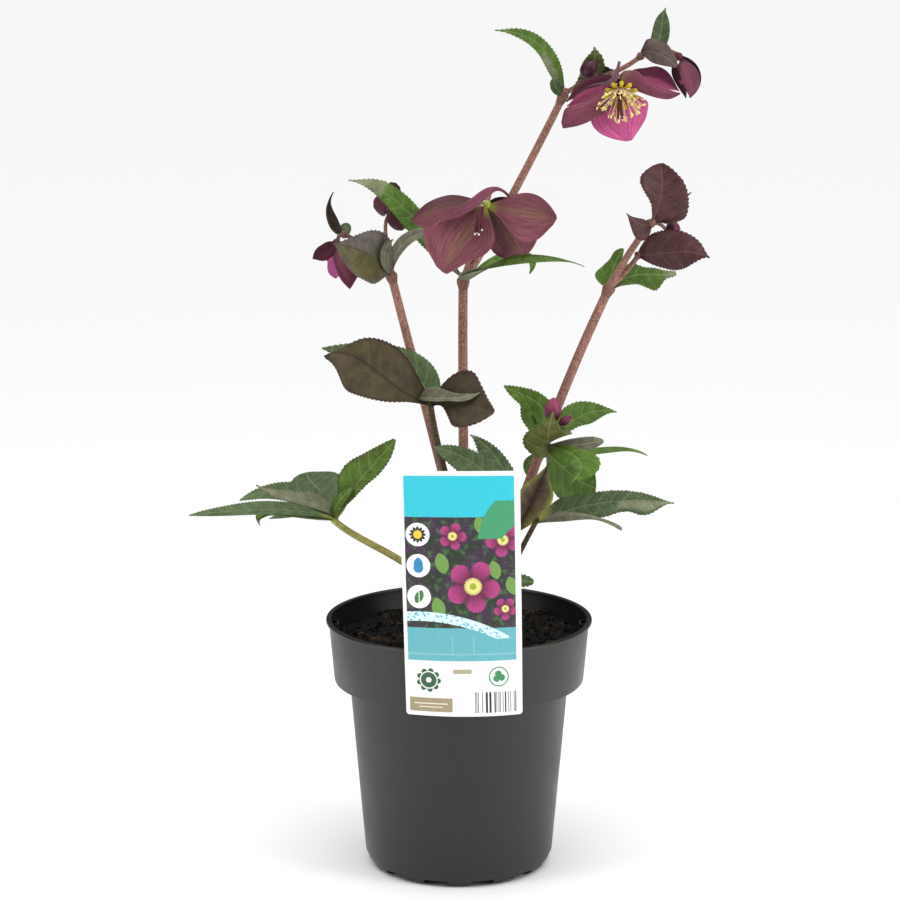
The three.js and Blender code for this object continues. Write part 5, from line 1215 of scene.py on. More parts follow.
def label_finish(colours):
    """The card's print: bands, a picture of blossoms with badges beside it, and plain marks."""
    card = Print("label_print")
    left, right = LABEL_EDGES
    card.tone = rgba(colours.card)
    flat = card.add("CombineXYZ", (card.across, card.height, 0.0))
    picture = card.panel(left, right, PICTURE_FOOT, BAND_FOOT)
    shadow = card.noise(flat, 0.07, 4.0, 0.6)
    ground = card.mix(card.ramp(shadow, 0.38, 0.62), code("1d2a18"), code("3d2140"))
    ground = card.mix(card.ramp(card.noise(flat, 0.2, 3.0), 0.5, 0.72), ground, code("3f6a34"))
    card.paint(picture, ground)
    for x, y, size in SPRIGS:
        sprig = card.lens((x, y + 1), (size * 0.45, 1), size)
        card.paint(card.times(sprig, picture), code("6f9a4a"))
    for x, y, radius, turn in BLOSSOMS:
        mask, lobe, out = card.blossom((x, y), radius, turn)
        petal = card.mix(card.ramp(out, 0.2, 1.0), code("6d1440"), code("b23a80"))
        petal = card.mix(card.ramp(lobe, 0.35, 0.8, 0.65, 0.0), petal, code("430c2b"))
        card.paint(card.times(mask, picture), petal)
        crown, _, _ = card.blossom((x, y), radius * 0.34, turn, 26, 0.55)
        card.paint(card.times(crown, picture), code("ece28a"))
        card.paint(card.times(card.disc((x, y), radius * 0.13), picture), code("9fae3a"))
    card.paint(card.panel(left, right, BAND_FOOT, BAND_TOP), rgba(colours.sky))
    swoosh = card.without(card.disc((58.0, 128.0), 46.0), card.disc((64.0, 108.0), 42.0))
    card.paint(card.times(swoosh, card.panel(left, right, 132.0, 160.0)), code("3f9a6a"))
    card.paint(card.panel(left, right, STRIP_FOOT, PICTURE_FOOT), rgba(colours.teal))
    hill = card.without(card.disc((-30.0, -40.0), 118.0), card.disc((-30.0, -47.0), 118.0))
    hill = card.times(hill, card.panel(left, right, 58.0, 82.0))
    dots = card.add("TexVoronoi", Vector=flat, Scale=0.42)
    sprinkled = card.mix(card.ramp(dots, 0.25, 0.4, 1.0, 0.0), code("d8f1f2"), code("3fb4c4"))
    card.paint(hill, sprinkled)
    for badge in (SUN, DROP, SPRIG):
        card.paint(card.disc(badge, 8.6), code("fbfbfa"))
    rays, _, _ = card.blossom(SUN, 6.0, 0.0, 12, 0.62)
    card.paint(rays, code("20231f"))
    card.paint(card.disc(SUN, 3.1), code("f3c83a"))
    x, y = DROP
    drop = card.math("MAXIMUM", card.lens((x, y + 1.0), (2.2, 0), 5.6), card.disc((x, y - 1.8), 3.6))
    card.paint(drop, code("2a86b8"))
    x, y = SPRIG
    sprig = card.lens(SPRIG, (3.0, -1.5), 6.4)
    card.paint(sprig, code("3f7a3a"))
    card.paint(card.times(sprig, card.panel(x - 0.3, x + 0.3, y - 6.0, y + 6.0)), code("f2f5ee"))
    petals, _, _ = card.blossom(ROSETTE, 9.0, 0.3, 9, 0.62)
    card.paint(petals, code("2f5b39"))
    card.paint(card.ring(ROSETTE, 6.6, 5.8), code("f4f5f3"))
    card.paint(card.disc(ROSETTE, 2.0), code("f4f5f3"))
    for edges, tone in PLATES:
        card.paint(card.panel(*edges), code(tone))
    card.paint(card.ring(TREFOIL, 7.4, 6.5), code("3f8a58"))
    leaves, _, _ = card.blossom(TREFOIL, 4.6, 0.5, 3, 0.45)
    card.paint(leaves, code("3f8a58"))
    stripe = card.math("FLOOR", card.math("DIVIDE", card.across, 0.52))
    draw = card.add("TexWhiteNoise", settings=dict(noise_dimensions="1D"), W=stripe)
    bars = card.times(card.math("GREATER_THAN", draw, 0.5), card.panel(7.6, 38.2, 2.6, 18.2))
    card.paint(bars, code("17181a"))
    tone = card.mix(card.front, rgba(colours.card), card.tone)
    press = card.line(card.math("ABSOLUTE", card.across), 7.6, 0.8)
    fold = card.line(card.height, 46.5, 1.1)
    pressed = card.times(press, card.panel(-12.0, 12.0, 46.0, 60.0))
    tone = card.mix(card.times(card.math("MAXIMUM", pressed, fold), 0.16), tone, code("ffffff"))
    wear = card.noise(flat, 0.6, 4.0)
    bump = card.bump(card.math("ADD", pressed, fold), 0.12)
    return card.made(
        Base_Color=card.mix(card.ramp(wear, 0.6, 0.85, 0.0, 0.08), tone, code("cfcdc6")),
        Roughness=card.ramp(wear, 0.3, 0.7, 0.24, 0.36),
        Normal=card.bump(card.noise(flat, 2.2), 0.02, bump),
        Specular_IOR_Level=0.5,
    )


# ---- Pieces


def add_piece(name, groups, nodes=()):
    """A piece in metres from shells, each with its finish, riding on the body for its nodes."""
    shells = [shell for shell, _ in groups]
    finishes = list(dict.fromkeys(finish for _, finish in groups))
    whole = join(shells)
    mesh = bpy.data.meshes.new(name)
    mesh.from_pydata(whole.points * MM, [], whole.quads.tolist() + whole.triangles.tolist())
    tint = np.ones((len(whole.points), 4))
    tint[:, :3] = np.clip(whole.tint, 0, 1)
    mesh.attributes.new("tint", "FLOAT_COLOR", "POINT").data.foreach_set("color", tint.ravel())
    places = mesh.attributes.new("place", "FLOAT_VECTOR", "POINT")
    places.data.foreach_set("vector", np.ascontiguousarray(whole.place, float).ravel())
    for finish in finishes:
        mesh.materials.append(finish)
    numbers = [finishes.index(finish) for _, finish in groups]
    quads = np.repeat(numbers, [len(shell.quads) for shell in shells])
    triangles = np.repeat(numbers, [len(shell.triangles) for shell in shells])
    mesh.polygons.foreach_set("material_index", np.concatenate([quads, triangles]))
    mesh.polygons.foreach_set("use_smooth", np.ones(len(mesh.polygons), bool))
    mesh.update()
    piece = bpy.data.objects.new(name, mesh)
    bpy.context.scene.collection.objects.link(piece)
    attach(piece, "root")
    if nodes:
        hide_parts(*nodes)
    return piece


# ---- Pot, soil and label

BASE_RADIUS = 63
DRAIN_START = 56
DRAIN_TOP = 4.5
FLOOR = 2.2
BASE_EDGE = (67.5, 2.2)
WALL_FOOT = (71, 10)
WALL_TOP = (82.5, 142)
LEDGE = (93.9, 143.2)
COLLAR_TOP = (97.8, 187)
POT_SIDES = 192
DRAIN_COUNT = 12
DRAIN_CELLS = 8
POCKET_TURNS = (0, np.pi)


def turned_wall(outer, inner, sides, open_cells, tint):
    """Two turned profiles joined at their last points, with a window where open_cells says so.

    The profiles are lists of radius and height with as many points each, from the axis to the
    rim. Along the edge of a window a strip of quads joins the outer to the inner skin.
    """
    turn = np.linspace(0, TURN, sides, endpoint=False)

    def skin_points(profile):
        radius, height = np.asarray(profile, float)[1:].T
        reach = radius[:, None]
        return stacked(reach * np.cos(turn), reach * np.sin(turn), height[:, None])

    out, into = skin_points(outer), skin_points(inner)
    count = len(out)
    index = np.arange(count * sides).reshape(count, sides)
    after = np.roll(index, -1, axis=1)
    shift = count * sides
    cells = stacked(index[:-1], after[:-1], after[1:], index[1:])
    closed = ~open_cells
    quads = [cells[closed], (cells + shift)[closed][:, ::-1]]
    rim = stacked(index[-1], after[-1], after[-1] + shift, index[-1] + shift)
    quads.append(rim)
    edges = ((0, 1, np.roll(open_cells, 1, axis=0)), (2, 3, np.roll(open_cells, -1, axis=0)),
             (1, 2, np.roll(open_cells, -1, axis=1)), (3, 0, np.roll(open_cells, 1, axis=1)))
    for first, second, beside in edges:
        border = cells[open_cells & ~beside]
        start, end = border[:, second], border[:, first]
        quads.append(stacked(end, start, start + shift, end + shift))
    middles = [[0, 0, outer[0][1]], [0, 0, inner[0][1]]]
    points = np.concatenate([out.reshape(-1, 3), into.reshape(-1, 3), middles])
    foot, floor = 2 * shift, 2 * shift + 1
    fans = np.concatenate([
        stacked(foot, after[0], index[0]),
        stacked(floor, index[0] + shift, after[0] + shift),
    ])
    return Shell(points, np.concatenate(quads), fans, tint, points)


def build_pot(settings):
    """The pot: a turned wall with drain slots round its base and two label pockets in its rim."""
    sizes, tint = settings.sizes, np.array(settings.colours.pot)
    top, rim, wall = sizes.pot_height / MM, sizes.rim_radius / MM, sizes.pot_wall / MM
    slot_radius = np.interp(DRAIN_TOP, [BASE_EDGE[1], WALL_FOOT[1]], [BASE_EDGE[0], WALL_FOOT[0]])
    outer = [
        (0, 0), (DRAIN_START, 0), (BASE_RADIUS, 0), BASE_EDGE, (slot_radius, DRAIN_TOP), WALL_FOOT,
        (77, 78), (82.0, 136.5), (82.5, 140.2), (83.6, 141.6), (86.0, 142.1), (92.2, 142.4),
        (93.5, 142.9), (94.0, 144.2), COLLAR_TOP, (98.6, 187.4), (rim - 0.25, 187.6),
        (rim, 188.1), (rim, top - 0.9), (rim - 0.35, top - 0.25), (rim - 1.1, top),
    ]
    inner = [
        (0, FLOOR), (DRAIN_START, FLOOR), (BASE_RADIUS - 1, FLOOR), (BASE_RADIUS + 1.2, FLOOR + 0.9),
        (slot_radius - 2.4, DRAIN_TOP), (WALL_FOOT[0] - wall, WALL_FOOT[1]), (77 - wall, 78),
        (82 - wall, 138.0), (82.5 - wall, 142.2), (83.6 - wall, 143.5), (85.8 - wall, 144.0),
        (91.4 - wall, 144.3), (92.8 - wall, 144.9), (93.6 - wall, 146.2), (97.7 - wall, 186.5),
        (97.8 - wall, 187.4), (97.8 - wall, 187.9), (97.8 - wall, 188.4), (97.8 - wall, top - 0.9),
        (98.1 - wall, top - 0.25), (98.9 - wall, top),
    ]
    cell = np.arange(POT_SIDES)
    pitch = POT_SIDES // DRAIN_COUNT
    in_slot = np.abs(cell % pitch - (pitch - 1) / 2) < DRAIN_CELLS / 2
    rows = np.arange(len(outer) - 2)
    open_cells = (rows < 3)[:, None] & in_slot
    shells = [turned_wall(outer, inner, POT_SIDES, open_cells, tint)]
    shells += [pocket(turn, tint) for turn in POCKET_TURNS]
    finish = pot_finish(settings.colours.pot)
    piece = add_piece("pot", [(shell, finish) for shell in shells], ["pot"])
    piece.data.set_sharp_from_angle(angle=np.radians(38))


def plate(grid, thickness, tint, front, back):
    """A sheet of one thickness and one colour, with the pattern places of its two sides."""
    tint = np.broadcast_to(tint, grid.shape)
    return sheet(grid, np.full(grid.shape[:2], thickness), (tint, tint), (front, back), (0.0, 0.0))


def pocket(turn, tint, bottom=166, top=186, width=13, depth=3.4, bar=1.3, bend=1.8):
    """A label pocket: a U in plan with two round corners, raised between two heights as a sheet."""
    arc = np.linspace(0, np.pi / 2, 7)
    inner, half = LEDGE[0] - depth + bar / 2, (width - bar) / 2
    corner = stacked(inner + bend - bend * np.sin(arc), half - bend + bend * np.cos(arc))
    arm = np.concatenate([[[LEDGE[0] + 1.5, half]], corner])
    plan = np.concatenate([arm, arm[::-1] * (1, -1)])
    x = plan[:, 0] * np.cos(turn) - plan[:, 1] * np.sin(turn)
    y = plan[:, 0] * np.sin(turn) + plan[:, 1] * np.cos(turn)
    heights = np.linspace(bottom, top, 4)[:, None]
    grid = stacked(x, y, heights)
    return plate(grid, bar, tint, grid, grid)


SOIL_TOP = 175
SOIL_UNEVEN = 2.4
SOIL_GAP = 0.35
SOIL_SEED = 7


def soil_height(x, y):
    """Height of the soil: two products of slow waves on its level, and finer lumps on those."""
    broad = np.sin(x / 17 + 0.8) * np.cos(y / 14 - 0.4)
    lumps = np.sin(x / 6.1 - y / 7.3) * np.cos(x / 9.7 + y / 5.2)
    fine = np.sin(x / 1.9 + 2 * np.sin(y / 3.1)) * np.cos(y / 2.3 + 2 * np.sin(x / 4.3))
    grit = np.sin(1.7 * x + 3 * np.sin(y)) * np.cos(1.9 * y + 3 * np.sin(0.8 * x))
    return SOIL_TOP + SOIL_UNEVEN * (0.6 * broad + 0.4 * lumps) + 0.55 * fine + 0.3 * grit


def soil_body(sizes, tint, sides=240, steps=80):
    """The soil as a turned body that fills the pot, with its top raised by the height formula."""
    slack = sizes.pot_wall / MM + SOIL_GAP
    edge = COLLAR_TOP[0] - 1.4 - slack
    side = [
        (0, FLOOR + SOIL_GAP), (BASE_RADIUS - 1.4, FLOOR + SOIL_GAP),
        (WALL_FOOT[0] - slack, WALL_FOOT[1] + SOIL_GAP), (WALL_TOP[0] - slack, WALL_TOP[1] + 4),
        (LEDGE[0] - slack, LEDGE[1] + 4), (edge, SOIL_TOP - 4),
    ]
    radius = np.concatenate([[point[0] for point in side], np.linspace(edge, 0, steps)])
    turn = np.linspace(0, TURN, sides, endpoint=False)
    x, y = radius[:, None] * np.cos(turn), radius[:, None] * np.sin(turn)
    heights = np.broadcast_to(np.array([point[1] for point in side])[:, None], (len(side), sides))
    top = soil_height(x[len(side) :], y[len(side) :])
    rings = stacked(x, y, np.concatenate([heights, top]))
    return rings_to_shell(rings, tint, rings)


def crumb(centre, size, draw, tint):
    """A lump of peat: a five-sided egg, each of its corners pushed in or out by chance."""
    t = np.array([0, 0.28, 0.72, 1])
    centres = centre + np.array([[0, 0, size * (2 * part - 1) * 0.7] for part in t])
    directions = np.broadcast_to(unit(draw.normal(size=3) + (0, 0, 1.5)), centres.shape)
    radii = size * draw.uniform(0.6, 1.25, (4, 5))
    return skin(centres, directions, radii, tint, sides=5)


def build_soil(settings):
    """Peat in the pot, with loose crumbs and root fibres scattered over it."""
    sizes, colours = settings.sizes, settings.colours
    draw = np.random.default_rng(SOIL_SEED)
    peat = np.array(colours.peat)
    edge = COLLAR_TOP[0] - 6
    shells = [soil_body(sizes, peat)]
    for _ in range(sizes.crumb_count):
        radius, turn = edge * np.sqrt(draw.uniform()), draw.uniform(0, TURN)
        x, y = radius * np.cos(turn), radius * np.sin(turn)
        size = 0.5 + 2.0 * draw.uniform() ** 3
        centre = np.array([x, y, soil_height(x, y) + 0.25 * size])
        shells.append(crumb(centre, size, draw, peat * draw.uniform(0.5, 1.8)))
    fibres = []
    for _ in range(sizes.fibre_count):
        radius, turn = (edge - 8) * np.sqrt(draw.uniform()), draw.uniform(0, TURN)
        foot = np.array([radius * np.cos(turn), radius * np.sin(turn)])
        heading, bend = draw.uniform(0, TURN), draw.normal(0, 0.7, 3)
        reach = draw.uniform(1.5, 5.0)
        steps = np.cumsum([[np.cos(heading + b), np.sin(heading + b)] for b in np.cumsum(bend)], axis=0)
        flat = np.clip(np.concatenate([[foot], foot + reach * steps]), -edge, edge)
        lift = draw.uniform(-0.3, 1.6, 4) + (0, 0.5, 0.5, 0)
        path = [[x, y, soil_height(x, y) + up] for (x, y), up in zip(flat, lift)]
        thick = draw.uniform(0.12, 0.36)
        tint = np.array(colours.fibre) * draw.uniform(0.5, 1.3)
        fibres.append(tube(path, thick, thick * 0.6, tint, sides=5, steps=10))
    peat_look = peat_finish(colours.peat)
    root_look = tinted_finish("root_fibre", 0.7, 2.0, 0.1)
    groups = [(shell, peat_look) for shell in shells] + [(shell, root_look) for shell in fibres]
    add_piece("soil", groups, ["soil"])


LABEL_TOP = 324
LABEL_FOOT = 142.5
LABEL_HALF = 43
LABEL_FRONT = -101.6
LABEL_LEAN = 3.8
LABEL_FOOT_BEND = 120
LABEL_TOP_BEND = 600
LABEL_CORNER = 2.2
TONGUE_HALF = 7.5
TONGUE_PATH = (
    (0.5, 214), (1.2, 207), (5.0, 201), (9.6, 197), (9.9, 190), (10.0, 183), (10.2, 157),
)


def build_label(settings):
    """The card: bent across, more so at its foot, with round corners and a tongue at its back."""
    sizes = settings.sizes
    thickness = sizes.label_thickness / MM
    card = np.array(settings.colours.card)
    near = LABEL_CORNER * (1 - np.cos(np.linspace(0, np.pi / 2, 9)))
    between = np.linspace(LABEL_FOOT, LABEL_TOP, 60)[2:-2]
    height = np.concatenate([LABEL_FOOT + near, between, (LABEL_TOP - near)[::-1]])
    inset = np.minimum(height - LABEL_FOOT, LABEL_TOP - height).clip(0, LABEL_CORNER)
    half = LABEL_HALF - LABEL_CORNER + np.sqrt(LABEL_CORNER**2 - (LABEL_CORNER - inset) ** 2)
    across = np.linspace(-1, 1, 49) * half[:, None]
    climb = ((height - LABEL_FOOT) / (LABEL_TOP - LABEL_FOOT))[:, None]
    bend = 1 / (1 / LABEL_FOOT_BEND + (1 / LABEL_TOP_BEND - 1 / LABEL_FOOT_BEND) * climb)
    middle = bend - thickness / 2
    x = middle * np.sin(across / bend) + LABEL_LEAN * (1 - climb)
    y = LABEL_FRONT + bend - middle * np.cos(across / bend)
    grid = stacked(x, y, height[:, None])
    rows = height[:, None] - LABEL_FOOT
    front, back = (stacked(across, rows, side) for side in (1.0, 0.0))
    sheets = [plate(grid, thickness, card, front, back)]
    t = np.linspace(0, 1, 40)
    steps = [np.hypot(*np.subtract(b, a)) for a, b in zip(TONGUE_PATH, TONGUE_PATH[1:])]
    knots = np.cumsum([0] + steps)
    depth, level = (np.interp(t * knots[-1], knots, column) for column in zip(*TONGUE_PATH))
    wide = TONGUE_HALF * (1 - 0.5 * smooth(t, 0.93, 1.06) ** 2)
    across = np.linspace(-1, 1, 9) * wide[:, None]
    grid = stacked(across + LABEL_LEAN, LABEL_FRONT + thickness + depth[:, None], level[:, None])
    plain = np.zeros(grid.shape)
    sheets.append(plate(grid, thickness, card, plain, plain))
    finish = label_finish(settings.colours)
    piece = add_piece("label", [(shell, finish) for shell in sheets], ["label"])
    piece.data.set_sharp_from_angle(angle=np.radians(40))


# ---- Stems, leaves and bracts

BLADES_SEED = 11
STEM_BRIGHTNESS = (0.92, 1.05)


def joint(stem, at, clasp, tint, swell=1.5):
    """The swollen joint where bracts clasp a stem: the stem's radius plus a bell of two slopes."""
    span = clasp / np.linalg.norm(np.subtract(stem["path"][-1], stem["path"][0]))
    t = np.linspace(at - 0.75 * span, min(at + 0.6 * span, 1.0), 18)
    centres, directions = curve(stem["path"], t)
    part = np.linspace(0, 1, len(t))
    bell = smooth(part, 0, 0.7) * (1 - smooth(part, 0.75, 1.0) * 0.9)
    radius = stem["start"] + (stem["end"] - stem["start"]) * t
    return skin(centres, directions, radius - 0.1 + swell * bell, tint, 20, ridge=0.05)


def end_tones(part, colours, brightness=(1, 1)):
    """The colours of a stalk's foot and head, made lighter or darker."""
    tones = np.array([getattr(colours, part[end]) for end in ("foot", "head")])
    return tones * np.reshape(brightness, (2, 1))


def build_stems(settings):
    """Three flowering stems, each with its flower stalks."""
    finish = stem_finish("stem_skin", settings.colours.stem_speck, 0.75)
    for name, parts in STEMS.items():
        groups = []
        for part in parts.values():
            tints = end_tones(part, settings.colours, STEM_BRIGHTNESS)
            shell = tube(part["path"], part["start"], part["end"], tints, sides=24, steps=60)
            groups.append((shell, finish))
        add_piece(name, groups, [name])


# Each leaf skin: the colour of its veins, how much of that shows, its roughness and its coat.
LEAF_SKINS = {
    "green_leaf": ("a9b77e", 0.34, 0.5, 0.02),
    "dark_leaf": ("2c1a1b", 0.55, 0.4, 0.06),
    "red_leaf": ("8a6a66", 0.3, 0.36, 0.1),
}
SKINS_OF_LOOKS = {
    "bronze": "dark_leaf", "brown": "dark_leaf", "umber": "dark_leaf", "mossy": "dark_leaf",
    "clasp": "dark_leaf", "maroon": "red_leaf", "grey": "red_leaf",
}


def leaf_finishes():
    """The leaf skins by name."""
    return {
        name: foliage_finish(name, linear(vein), *rest)
        for name, (vein, *rest) in LEAF_SKINS.items()
    }


def blade_groups(blades, settings, draw, finishes):
    """Every blade of a leaf or whorl with its finish."""
    return [
        (leaf(spec, settings, draw), finishes[SKINS_OF_LOOKS.get(spec["look"], "green_leaf")])
        for spec in blades.values()
    ]


def build_leaves(settings):
    """Four divided leaves from the root, each a stalk with leaflets at its head."""
    draw = np.random.default_rng(BLADES_SEED)
    finishes = leaf_finishes()
    stalk_finish = stem_finish("stalk_skin", settings.colours.green_stalk, 0.3)
    for name, spec in LEAVES.items():
        part = spec["stalk"]
        tones = end_tones(part, settings.colours)
        shell = tube(part["path"], part["start"], part["end"], tones, sides=20)
        groups = blade_groups(spec["blades"], settings, draw, finishes)
        add_piece(name, [(shell, stalk_finish)] + groups, [name])


def build_bracts(settings):
    """The leaves on the flowering stems, a whorl at each joint."""
    draw = np.random.default_rng(BLADES_SEED + 1)
    finishes = leaf_finishes()
    joint_finish = stem_finish("joint_skin", settings.colours.stem_speck, 0.3)
    for name, spec in WHORLS.items():
        stem_name, part = spec["on"]
        tint = np.array(settings.colours.stem) * 0.75
        shell = joint(STEMS[stem_name][part], spec["at"], spec["clasp"], tint)
        groups = blade_groups(spec["blades"], settings, draw, finishes)
        add_piece(name, [(shell, joint_finish)] + groups, [name])


# ---- Flowers

STAMEN_COUNT = 64
NECTARY_COUNT = 11
ANTHER_LENGTH = 3.6
ANTHER_RADIUS = 0.72
# Each sepal skin: the colour of its veins, how much of that shows, its roughness and its bleed.
SEPAL_SKINS = {
    "old_sepal": ("3a1a20", 0.35, 0.5, 0.03),
    "fresh_sepal": ("7a2557", 0.35, 0.45, 0.1),
    "dark_sepal": ("38141f", 0.4, 0.42, 0.04),
}
SKINS_OF_FLOWERS = {"sepals_front": "old_sepal", "sepals_top": "fresh_sepal"}


def ball(centre, radius, tint, sides=20, steps=13):
    """A ball of rings between two poles."""
    t = np.linspace(0, np.pi, steps)
    centres = np.array(centre, float) + np.array([0, 0, 1.0]) * (radius * np.cos(t))[:, None]
    directions = np.broadcast_to(np.array([0, 0, 1.0]), centres.shape)
    return skin(centres, directions, radius * np.sin(t), tint, sides)


def build_sepals(settings):
    """Five flowers, each a ring of sepals round a heart."""
    colours = settings.colours
    draw = np.random.default_rng(BLADES_SEED + 2)
    finishes = {
        name: sepal_finish(name, linear(vein), *rest) for name, (vein, *rest) in SEPAL_SKINS.items()
    }
    heart_finish = tinted_finish("flower_heart", 0.5, 1.0, 0.2)
    for name, spec in FLOWERS.items():
        skin_name = SKINS_OF_FLOWERS.get(name, "dark_sepal")
        shells = [sepal(part, settings, draw) for part in spec["blades"].values()]
        tone = colours.heart if name == "sepals_front" else colours.dusk_sepal
        heart = ball(spec["heart"], spec["radius"] * 0.9, np.array(tone))
        groups = [(shell, finishes[skin_name]) for shell in shells] + [(heart, heart_finish)]
        add_piece(name, groups, [name])


def filament(foot, along, reach, droop, colours, draw):
    """A stamen: a thin bent stalk with a flattened anther on its end."""
    side = unit(draw.normal(size=3))
    middle = foot + along * reach * 0.5 - np.array([0, 0, droop * 0.2]) + side * 0.5
    tip = foot + along * reach - np.array([0, 0, droop])
    thread = tube([foot, middle, tip], 0.28, 0.17, np.array(colours.filament), sides=6, steps=9)
    facing = unit(along + 0.5 * draw.normal(size=3))
    t = np.linspace(0, 1, 7)
    centres = tip + facing * (ANTHER_LENGTH * (t - 0.4))[:, None]
    radii = ANTHER_RADIUS * np.sin(np.pi * t) ** 0.5
    tone = np.array(colours.anther) * draw.uniform(0.82, 1.1)
    head = skin(centres, np.broadcast_to(facing, centres.shape), radii, tone, 8, flat=0.7)
    return thread, head


def build_hearts(settings):
    """The fresh flower's stamens, nectaries and styles, and the old flower's carpels."""
    colours = settings.colours
    draw = np.random.default_rng(BLADES_SEED + 3)
    axis = unit(np.array(STAMENS["axis"], float))
    side = side_of(axis[None])[0]
    over = np.cross(axis, side)
    centre = np.array(STAMENS["ring"], float)
    threads, heads = [], []
    for number in range(STAMEN_COUNT):
        turn = TURN * number / STAMEN_COUNT * 3.0 + draw.normal(0, 0.15)
        outward = np.cos(turn) * side + np.sin(turn) * over
        tilt = np.radians(draw.uniform(12, 60)) * (1 - 0.5 * max(outward[2], 0))
        along = np.cos(tilt) * axis + np.sin(tilt) * outward
        foot = centre + outward * (STAMENS["ring_radius"] * draw.uniform(0.7, 1.3))
        reach = draw.uniform(0.75, 1.0) * STAMENS["length"]
        thread, head = filament(foot, along, reach, 1.5, colours, draw)
        threads.append(thread)
        heads.append(head)
    nectaries = []
    for number in range(NECTARY_COUNT):
        turn = TURN * number / NECTARY_COUNT
        outward = np.cos(turn) * side + np.sin(turn) * over
        foot = centre + outward * (STAMENS["ring_radius"] + 1.2)
        path = [foot, foot + axis * 2 + outward * 3, foot + axis * 3.4 + outward * 6]
        tone = np.array(colours.nectary) * draw.uniform(0.8, 1.2)
        nectaries.append(tube(path, 0.9, 1.7, tone, sides=10, steps=10))
    silk = tinted_finish("filament", 0.5, 2.0, 0.05, 0.2)
    pollen = tinted_finish("anther", 0.8, 6.0, 0.15)
    waxy = tinted_finish("nectary", 0.35, 1.0, 0.1, 0.1)
    disc = ball(centre - axis * 1.5, STAMENS["ring_radius"] + 0.2, np.array(colours.dusk_sepal))
    groups = [(shell, silk) for shell in threads] + [(shell, pollen) for shell in heads]
    groups += [(shell, waxy) for shell in nectaries + [disc]]
    add_piece("stamens_top", groups, ["stamens_top"])
    red = tinted_finish("style", 0.35, 0.8, 0.2)
    white = tinted_finish("stigma", 0.6, 3.0, 0.1)
    styles = (("styles_top", TOP_STYLES, 1.15), ("carpels_front", FRONT_CARPELS, 1.5))
    dark, pale = (np.array(tone) for tone in (colours.style, colours.stigma))
    for name, spec, radius in styles:
        foot = np.array(spec["foot"], float)
        groups = []
        for tip in np.array(spec["tips"], float):
            bend = (foot + tip) / 2 + (tip - foot)[[1, 0, 2]] * (0.05, 0.02, 0)
            path = [foot, bend, tip]
            groups.append((tube(path, radius * 1.25, radius * 0.5, dark, sides=12), red))
            groups.append((ball(tip, radius * 0.55, pale, 10, 7), white))
        add_piece(name, groups, [name])


def build_buds(settings):
    """The closed buds, and the small one beside the lowest of them."""
    finish = tinted_finish("bud", 0.36, 0.35, 0.25, 0.04)
    for name, specs in BUDS.items():
        shells = [bud(spec, settings.colours) for spec in specs]
        add_piece(name, [(join(shells), finish)], [name])


# ---- Stage

CAMERA_PLACE = (-6.75, -2184.5, 775.4)
CAMERA_PITCH = 11.82
CAMERA_LENS = 120
FLOOR_RADIUS = 20000
FLOOR_DROP = -0.4
CEILING_SPREAD = 90
PANELS = {"left": ((-900, -500, 560), 0.85), "right": ((900, -500, 560), 1.15)}


def area_light(name, place, target, width, height, watts):
    """A soft panel that faces a point."""
    data = bpy.data.lights.new(name, "AREA")
    data.shape = "RECTANGLE"
    data.size = width * MM
    data.size_y = height * MM
    data.energy = watts
    lamp = bpy.data.objects.new(name, data)
    lamp.location = np.array(place) * MM
    towards = Vector(np.subtract(target, place).tolist())
    lamp.rotation_euler = towards.to_track_quat("-Z", "Y").to_euler()
    bpy.context.scene.collection.objects.link(lamp)


def build_stage(settings):
    """Pale floor, white surround, side panels, a top panel, a soft ceiling and the camera."""
    scene = bpy.context.scene
    turn = np.linspace(0, TURN, 65)[:-1]
    rim = stacked(np.cos(turn), np.sin(turn), FLOOR_DROP / FLOOR_RADIUS)
    mesh = bpy.data.meshes.new("floor")
    mesh.from_pydata(rim * FLOOR_RADIUS * MM, [], [list(range(len(turn)))])
    floor = bpy.data.objects.new("floor", mesh)
    scene.collection.objects.link(floor)
    paint = dict(Base_Color=rgba(settings.colours.floor), Roughness=0.9, Specular_IOR_Level=0.1)
    mesh.materials.append(Finish("floor_paint").made(**paint))
    world = bpy.data.worlds.new("studio")
    world.use_nodes = True
    background = world.node_tree.nodes["Background"]
    background.inputs["Color"].default_value = (1.0, 1.0, 1.0, 1.0)
    background.inputs["Strength"].default_value = settings.light.surround
    scene.world = world
    for side, (place, part) in PANELS.items():
        area_light(side, place, (0, 0, 260), 380, 1100, settings.light.sides * part)
    area_light("top", (-150, -500, 1500), (0, 0, 300), 1300, 900, settings.light.top)
    ceiling = bpy.data.lights.new("ceiling", "SUN")
    ceiling.energy = settings.light.ceiling
    ceiling.angle = np.radians(CEILING_SPREAD)
    scene.collection.objects.link(bpy.data.objects.new("ceiling", ceiling))
    data = bpy.data.cameras.new("camera")
    data.lens = CAMERA_LENS
    camera = bpy.data.objects.new("camera", data)
    camera.location = np.array(CAMERA_PLACE) * MM
    camera.rotation_euler = (np.radians(90 - CAMERA_PITCH), 0, 0)
    scene.collection.objects.link(camera)
    scene.camera = camera
    scene.view_settings.view_transform = "Standard"


# ---- Operators, panel and registration


class HelleboreSettings(bpy.types.PropertyGroup):
    """All settings of the potted hellebore."""

    sizes: bpy.props.PointerProperty(type=HelleboreSizes)
    colours: bpy.props.PointerProperty(type=HelleboreColours)
    light: bpy.props.PointerProperty(type=HelleboreLight)


class HELLEBORE_OT_pot(bpy.types.Operator):
    """Build the nursery pot"""

    bl_idname = "hellebore.pot"
    bl_label = "Pot"

    def execute(self, context):
        build_pot(context.scene.hellebore)
        return {"FINISHED"}


